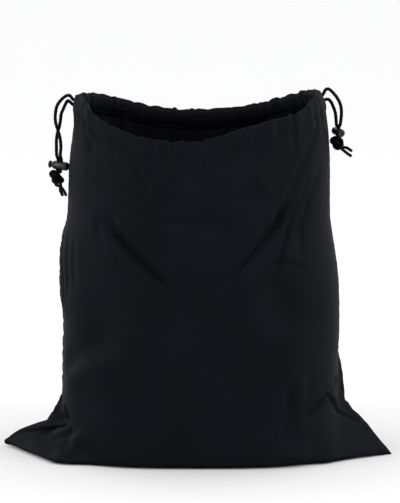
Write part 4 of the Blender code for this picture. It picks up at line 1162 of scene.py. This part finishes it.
def draw_tight(steps):
    """Shortens the two strands of the loose knot until their turns bear on each other."""
    scale = KNOTTED / 3.0
    base = smooth_route([(x * scale, y * 1.25 * scale, z * scale) for x, y, z in LOOSE_KNOT], 1.0)
    side_way = np.gradient(base, axis=0)
    side_way = np.cross(side_way, (0.25, 1.0, 0.1))
    side_way /= np.linalg.norm(side_way, axis=1, keepdims=True)
    count = 96
    strands_now = [even_out(base + side_way * s * 1.6 * scale, count) for s in (-1, 1)]
    x = np.concatenate(strands_now)
    strand = np.repeat([0, 1], count)
    for step in range(steps):
        for k in (0, 1):
            part = x[strand == k]
            # shorten: each point goes towards the middle of its neighbours
            mid = (part[:-2] + part[2:]) / 2
            part[1:-1] += (mid - part[1:-1]) * 0.5
            part = even_out(part, count) if step % 5 == 0 else part
            x[strand == k] = part
        run = np.tile(np.arange(count) * np.linalg.norm(np.diff(x[:count], axis=0), axis=1).mean(), 2)
        for _ in range(3):
            move = keep_apart(x, strand, run, KNOTTED + 0.02)
            move[[0, count - 1, count, 2 * count - 1]] = 0
            x = x + move
    return x.reshape(2, count, 3)


TIGHT_KNOT = draw_tight(420)


def knot_pieces(row, centre, tails, tilt):
    """Two strands from the lock through the tight knot to their cut ends."""
    side, tight = row[0], TIGHT_KNOT
    lone = tight.mean(0)
    bent = np.linalg.norm(np.diff(lone, 2, axis=0), axis=1)
    busy = np.flatnonzero(bent > 0.3 * bent.max())
    body = tight[:, max(busy[0] - 3, 0) : busy[-1] + 4]
    body = body - body.reshape(-1, 3).mean(0)
    c, s = math.cos(tilt), math.sin(tilt)
    body = body @ np.array([[c, s, 0], [-s, c, 0], [0, 0, 1.0]])
    body = body + np.array(centre)
    places = STRANDS[side][2]
    made = []
    tops = [np.array(in_lock(row, p * CORD_PITCH, -BELOW_LOCK)) for p in places]
    dips = [np.array(in_lock(row, p * CORD_PITCH, -BELOW_LOCK + 1.2)) for p in places]
    order = (0, 1) if np.linalg.norm(body[0, 0] - tops[0]) + np.linalg.norm(body[1, 0] - tops[1]) < np.linalg.norm(
        body[0, 0] - tops[1]
    ) + np.linalg.norm(body[1, 0] - tops[0]) else (1, 0)
    ends = (0, 1) if np.linalg.norm(body[order[0], -1] - tails[0][-1]) < np.linalg.norm(
        body[order[0], -1] - tails[1][-1]
    ) else (1, 0)
    lines = []
    for k in (0, 1):
        inside = body[order[k]]
        lines.append(smooth_route([dips[k], tops[k], *inside[2:-2:3], *tails[ends[k]][1:]], 0.8))
    counts = [len(line) for line in lines]
    x = np.concatenate(lines)
    strand = np.repeat([0, 1], counts)
    run = np.concatenate([np.arange(c) * 0.8 for c in counts])
    hold = np.ones(len(x))
    for k in (0, 1):
        here = np.flatnonzero(strand == k)
        hold[here[:4]] = 0
        hold[here[-8:]] = 0
    lock_at = np.array(lock_frame(row)[0])
    lock_axis, lock_up = np.array(lock_frame(row)[1]), np.array(lock_frame(row)[3])
    for step in range(160):
        for k in (0, 1):
            here = np.flatnonzero(strand == k)
            part = x[here]
            part[1:-1] += ((part[:-2] + part[2:]) / 2 - part[1:-1]) * 0.18 * hold[here][1:-1, None]
            x[here] = part
        for _ in range(3):
            move = keep_apart(x, strand, run, KNOTTED + 0.02)
            x = x + move * hold[:, None]
        rise = (x - lock_at) @ lock_up
        over = np.clip(rise + BARREL_D / 2 + KNOTTED / 2 + 0.15, 0, 2.5) * hold
        x = x - lock_up * over[:, None] * 0.5
    for k in (0, 1):
        line = smooth_route(x[strand == k][::2], 0.42)
        made.append(tube(f"{side}_knot_strand_{k + 1}", line, KNOTTED / 2, 24, braid))
    return made


LEFT_TAILS = (
    ((-152.6, -15.0, 301.0), (-150.6, -18.0, 294.6), (-147.6, -21.4, 289.0), (-146.8, -22.4, 286.4)),
    ((-151.6, -16.4, 302.0), (-147.8, -20.0, 295.6), (-144.0, -23.6, 290.0), (-142.6, -24.8, 286.9)),
)
RIGHT_TAILS = (
    ((153.0, -12.6, 342.0), (158.4, -13.4, 339.6), (163.2, -14.0, 336.8), (166.4, -14.4, 334.8)),
    ((152.6, -13.4, 340.4), (157.6, -14.6, 335.6), (162.4, -15.6, 331.6), (165.8, -16.0, 329.4)),
)
for row, tails, tilt in ((LOCKS[0], LEFT_TAILS, 0.35), (LOCKS[1], RIGHT_TAILS, -0.5)):
    side = row[0]
    made = knot_pieces(row, KNOT_AT[side], tails, tilt)
    for piece in made:
        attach(piece, "root")
        cord_pieces.append(piece)
    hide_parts(f"{side}_knot")

# ------------------------------------------------------------------ materials


def material(name):
    made = bpy.data.materials.new(name)
    made.use_nodes = True
    tree = made.node_tree
    return made, tree, tree.nodes["Principled BSDF"]


def node(tree, kind, **inputs):
    made = tree.nodes.new(kind)
    for key, value in inputs.items():
        if hasattr(made, key):
            setattr(made, key, value)
        else:
            made.inputs[key.replace("_", " ")].default_value = value
    return made


def math_node(tree, operation, a, b=None, clamp=False):
    made = tree.nodes.new("ShaderNodeMath")
    made.operation = operation
    made.use_clamp = clamp
    for socket, value in ((made.inputs[0], a), (made.inputs[1], b)):
        if value is None:
            continue
        if isinstance(value, (int, float)):
            socket.default_value = value
        else:
            tree.links.new(value, socket)
    return made.outputs[0]


def cloth_material():
    made, tree, shader = material("woven_black_cloth")
    links = tree.links
    uv = node(tree, "ShaderNodeUVMap", uv_map="cut")
    split = node(tree, "ShaderNodeSeparateXYZ")
    links.new(uv.outputs[0], split.inputs[0])
    # plain weave: threads of 0.42 mm, 500 mm to one unit
    threads = 500 / 0.84
    wave = []
    for axis in (0, 1):
        turned = math_node(tree, "MULTIPLY", split.outputs[axis], 2 * math.pi * threads)
        wave.append(math_node(tree, "SINE", turned))
    crossing = math_node(tree, "MULTIPLY", wave[0], wave[1])
    # unevenness of the yarn and of the cloth
    coord = node(tree, "ShaderNodeTexCoord")
    slub = node(tree, "ShaderNodeTexNoise", Scale=900.0, Detail=3.0, Roughness=0.6)
    links.new(coord.outputs["Object"], slub.inputs["Vector"])
    broad = node(tree, "ShaderNodeTexNoise", Scale=14.0, Detail=4.0, Roughness=0.55)
    links.new(coord.outputs["Object"], broad.inputs["Vector"])
    crease = node(tree, "ShaderNodeTexNoise", Scale=95.0, Detail=4.0, Roughness=0.6, Distortion=0.6)
    links.new(coord.outputs["Object"], crease.inputs["Vector"])
    height = math_node(tree, "ADD", math_node(tree, "MULTIPLY", crossing, 0.5), math_node(tree, "MULTIPLY", slub.outputs[0], 0.6))
    weave_bump = node(tree, "ShaderNodeBump", Strength=0.35, Distance=0.00006)
    links.new(height, weave_bump.inputs["Height"])
    crease_bump = node(tree, "ShaderNodeBump", Strength=0.6, Distance=0.0009)
    links.new(crease.outputs[0], crease_bump.inputs["Height"])
    links.new(weave_bump.outputs[0], crease_bump.inputs["Normal"])
    links.new(crease_bump.outputs[0], shader.inputs["Normal"])
    tone = node(tree, "ShaderNodeValToRGB")
    tone.color_ramp.elements[0].position, tone.color_ramp.elements[0].color = 0.3, (0.0030, 0.0033, 0.0050, 1)
    tone.color_ramp.elements[1].position, tone.color_ramp.elements[1].color = 0.75, (0.0053, 0.0057, 0.0084, 1)
    mixed = math_node(tree, "ADD", math_node(tree, "MULTIPLY", broad.outputs[0], 0.8), math_node(tree, "MULTIPLY", crossing, 0.1))
    links.new(mixed, tone.inputs[0])
    links.new(tone.outputs[0], shader.inputs["Base Color"])
    rough = math_node(tree, "ADD", math_node(tree, "MULTIPLY", broad.outputs[0], 0.14), 0.62)
    links.new(rough, shader.inputs["Roughness"])
    # painted shade: less specular and sheen on the foot within a few mm of the floor, which takes the floor's bright
    # reflection off the bottom edge and leaves it dark
    place = node(tree, "ShaderNodeSeparateXYZ")
    links.new(coord.outputs["Object"], place.inputs[0])
    painted_foot_shade = node(tree, "ShaderNodeMapRange", interpolation_type="SMOOTHSTEP")
    painted_foot_shade.inputs[1].default_value, painted_foot_shade.inputs[2].default_value = 0.001, 0.007
    painted_foot_shade.inputs[3].default_value, painted_foot_shade.inputs[4].default_value = 0.1, 1.0
    links.new(place.outputs[2], painted_foot_shade.inputs[0])
    links.new(math_node(tree, "MULTIPLY", painted_foot_shade.outputs[0], 0.038), shader.inputs["Specular IOR Level"])
    links.new(math_node(tree, "MULTIPLY", painted_foot_shade.outputs[0], 0.0025), shader.inputs["Sheen Weight"])
    shader.inputs["Sheen Roughness"].default_value = 0.45
    shader.inputs["Sheen Tint"].default_value = (0.82, 0.87, 1.0, 1)
    return made


def cord_material():
    made, tree, shader = material("braided_black_cord")
    links = tree.links
    uv = node(tree, "ShaderNodeUVMap", uv_map="cut")
    split = node(tree, "ShaderNodeSeparateXYZ")
    links.new(uv.outputs[0], split.inputs[0])
    around = math_node(tree, "MULTIPLY", split.outputs[0], 4.0)
    on = math_node(tree, "MULTIPLY", split.outputs[1], 1000 / 4.2)
    a = math_node(tree, "ADD", around, on)
    b = math_node(tree, "SUBTRACT", around, on)
    sines = [
        math_node(tree, "ABSOLUTE", math_node(tree, "SINE", math_node(tree, "MULTIPLY", x, math.pi))) for x in (a, b)
    ]
    braid_groove_shade = math_node(tree, "MULTIPLY", sines[0], sines[1])
    fibres = [
        math_node(tree, "SINE", math_node(tree, "MULTIPLY", x, 2 * math.pi * 7)) for x in (a, b)
    ]
    fibre = math_node(tree, "MULTIPLY", math_node(tree, "ADD", fibres[0], fibres[1]), 0.5)
    coord = node(tree, "ShaderNodeTexCoord")
    fuzz = node(tree, "ShaderNodeTexNoise", Scale=2500.0, Detail=3.0)
    links.new(coord.outputs["Object"], fuzz.inputs["Vector"])
    height = math_node(tree, "ADD", fibre, fuzz.outputs[0])
    bump = node(tree, "ShaderNodeBump", Strength=0.5, Distance=0.00012)
    links.new(height, bump.inputs["Height"])
    links.new(bump.outputs[0], shader.inputs["Normal"])
    # painted shade: the base colour is darkest in the grooves between the braid's strands and lighter on their crests
    tone = node(tree, "ShaderNodeValToRGB")
    tone.color_ramp.elements[0].position, tone.color_ramp.elements[0].color = 0.0, (0.0006, 0.0006, 0.0009, 1)
    tone.color_ramp.elements[1].position, tone.color_ramp.elements[1].color = 0.8, (0.0036, 0.0035, 0.0046, 1)
    links.new(braid_groove_shade, tone.inputs[0])
    links.new(tone.outputs[0], shader.inputs["Base Color"])
    shader.inputs["Roughness"].default_value = 0.55
    shader.inputs["Specular IOR Level"].default_value = 0.045
    return made


def thread_material():
    made, tree, shader = material("sewing_thread")
    coord = node(tree, "ShaderNodeTexCoord")
    twist = node(tree, "ShaderNodeTexNoise", Scale=3000.0, Detail=2.0)
    tree.links.new(coord.outputs["Object"], twist.inputs["Vector"])
    bump = node(tree, "ShaderNodeBump", Strength=0.4, Distance=0.00005)
    tree.links.new(twist.outputs[0], bump.inputs["Height"])
    tree.links.new(bump.outputs[0], shader.inputs["Normal"])
    tone = node(tree, "ShaderNodeValToRGB")
    tone.color_ramp.elements[0].color = (0.002, 0.002, 0.003, 1)
    tone.color_ramp.elements[1].color = (0.004, 0.004, 0.006, 1)
    tree.links.new(twist.outputs[0], tone.inputs[0])
    tree.links.new(tone.outputs[0], shader.inputs["Base Color"])
    shader.inputs["Roughness"].default_value = 0.6
    shader.inputs["Specular IOR Level"].default_value = 0.06
    return made


def plastic_material():
    made, tree, shader = material("moulded_dark_plastic")
    links = tree.links
    coord = node(tree, "ShaderNodeTexCoord")
    grain = node(tree, "ShaderNodeTexNoise", Scale=1800.0, Detail=3.0)
    links.new(coord.outputs["Object"], grain.inputs["Vector"])
    flow = node(tree, "ShaderNodeTexNoise", Scale=160.0, Detail=3.0, Distortion=1.2)
    links.new(coord.outputs["Object"], flow.inputs["Vector"])
    bump = node(tree, "ShaderNodeBump", Strength=0.15, Distance=0.00004)
    links.new(grain.outputs[0], bump.inputs["Height"])
    links.new(bump.outputs[0], shader.inputs["Normal"])
    tone = node(tree, "ShaderNodeValToRGB")
    tone.color_ramp.elements[0].position, tone.color_ramp.elements[0].color = 0.35, (0.003, 0.003, 0.004, 1)
    tone.color_ramp.elements[1].position, tone.color_ramp.elements[1].color = 0.7, (0.006, 0.006, 0.008, 1)
    links.new(flow.outputs[0], tone.inputs[0])
    links.new(tone.outputs[0], shader.inputs["Base Color"])
    rough = math_node(tree, "ADD", math_node(tree, "MULTIPLY", flow.outputs[0], 0.14), 0.14)
    links.new(rough, shader.inputs["Roughness"])
    shader.inputs["Specular IOR Level"].default_value = 0.13
    shader.inputs["Coat Weight"].default_value = 0.27
    shader.inputs["Coat Roughness"].default_value = 0.06
    return made


cloth_look, cord_look, thread_look, plastic_look = (
    cloth_material(), cord_material(), thread_material(), plastic_material(),
)
for side in ("front", "back"):
    panels[side][0].data.materials.append(cloth_look)
for obj in stitches:
    obj.data.materials.append(thread_look)
for obj in cord_pieces:
    obj.data.materials.append(cord_look)
for pieces in lock_pieces.values():
    for obj in pieces:
        obj.data.materials.clear()
        obj.data.materials.append(plastic_look)

# ------------------------------------------------------------------ strands attached to the root, each with its run length

for piece, side, which, route, leaves in declared:
    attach(piece, "root")
    run = np.linalg.norm(np.diff(route, axis=0), axis=1).sum() * MM

# ------------------------------------------------------------------ floor, light

floor_mesh = bpy.data.meshes.new("floor")
floor_mesh.from_pydata([(-30, -30, -0.0004), (30, -30, -0.0004), (30, 30, -0.0004), (-30, 30, -0.0004)], [], [(0, 1, 2, 3)])
floor = bpy.data.objects.new("floor", floor_mesh)
bpy.context.scene.collection.objects.link(floor)
floor_look, tree, shader = material("pale_floor")
shader.inputs["Base Color"].default_value = (0.64, 0.64, 0.645, 1)
shader.inputs["Roughness"].default_value = 0.9
shader.inputs["Specular IOR Level"].default_value = 0.1
floor_mesh.materials.append(floor_look)

world = bpy.data.worlds.new("studio")
world.use_nodes = True
# a bright room to both sides, paler overhead and behind, dim in front
sky = world.node_tree
heading = node(sky, "ShaderNodeTexCoord")
parts = node(sky, "ShaderNodeSeparateXYZ")
sky.links.new(heading.outputs["Generated"], parts.inputs[0])
glow = 0.2
for source, start, end, amount in (("x", 0.1, 0.88, 2.05), ("z", 0.25, 0.95, 0.6), ("y", 0.2, 0.9, 0.5)):
    value = parts.outputs["xyz".index(source)]
    if source == "x":
        value = math_node(sky, "ABSOLUTE", value)
    ramp = node(sky, "ShaderNodeMapRange", interpolation_type="SMOOTHSTEP")
    ramp.inputs[1].default_value, ramp.inputs[2].default_value = start, end
    ramp.inputs[3].default_value, ramp.inputs[4].default_value = 0, amount
    sky.links.new(value, ramp.inputs[0])
    glow = math_node(sky, "ADD", ramp.outputs[0], glow)
sky.links.new(glow, sky.nodes["Background"].inputs[0])
world.node_tree.nodes["Background"].inputs[1].default_value = 1.0
bpy.context.scene.world = world


def softbox(name, at, towards, size, power, colour=(1, 1, 1)):
    data = bpy.data.lights.new(name, "AREA")
    data.shape = "RECTANGLE"
    data.size, data.size_y = size
    data.energy = power
    data.color = colour
    obj = bpy.data.objects.new(name, data)
    bpy.context.scene.collection.objects.link(obj)
    obj.location = at
    obj.rotation_euler = (Vector(towards) - Vector(at)).to_track_quat("-Z", "Y").to_euler()
    return obj


softbox("left_softbox", (-1.5, -0.8, 0.8), (0, 0, 0.25), (0.7, 1.2), 9)
softbox("right_softbox", (1.5, -0.75, 0.85), (0, 0, 0.25), (0.7, 1.2), 9)
softbox("overhead", (0.0, 0.45, 2.3), (0, 0, 0.1), (2.0, 1.6), 5)

scene = bpy.context.scene
scene.view_settings.view_transform = "Standard"
scene.view_settings.look = "None"
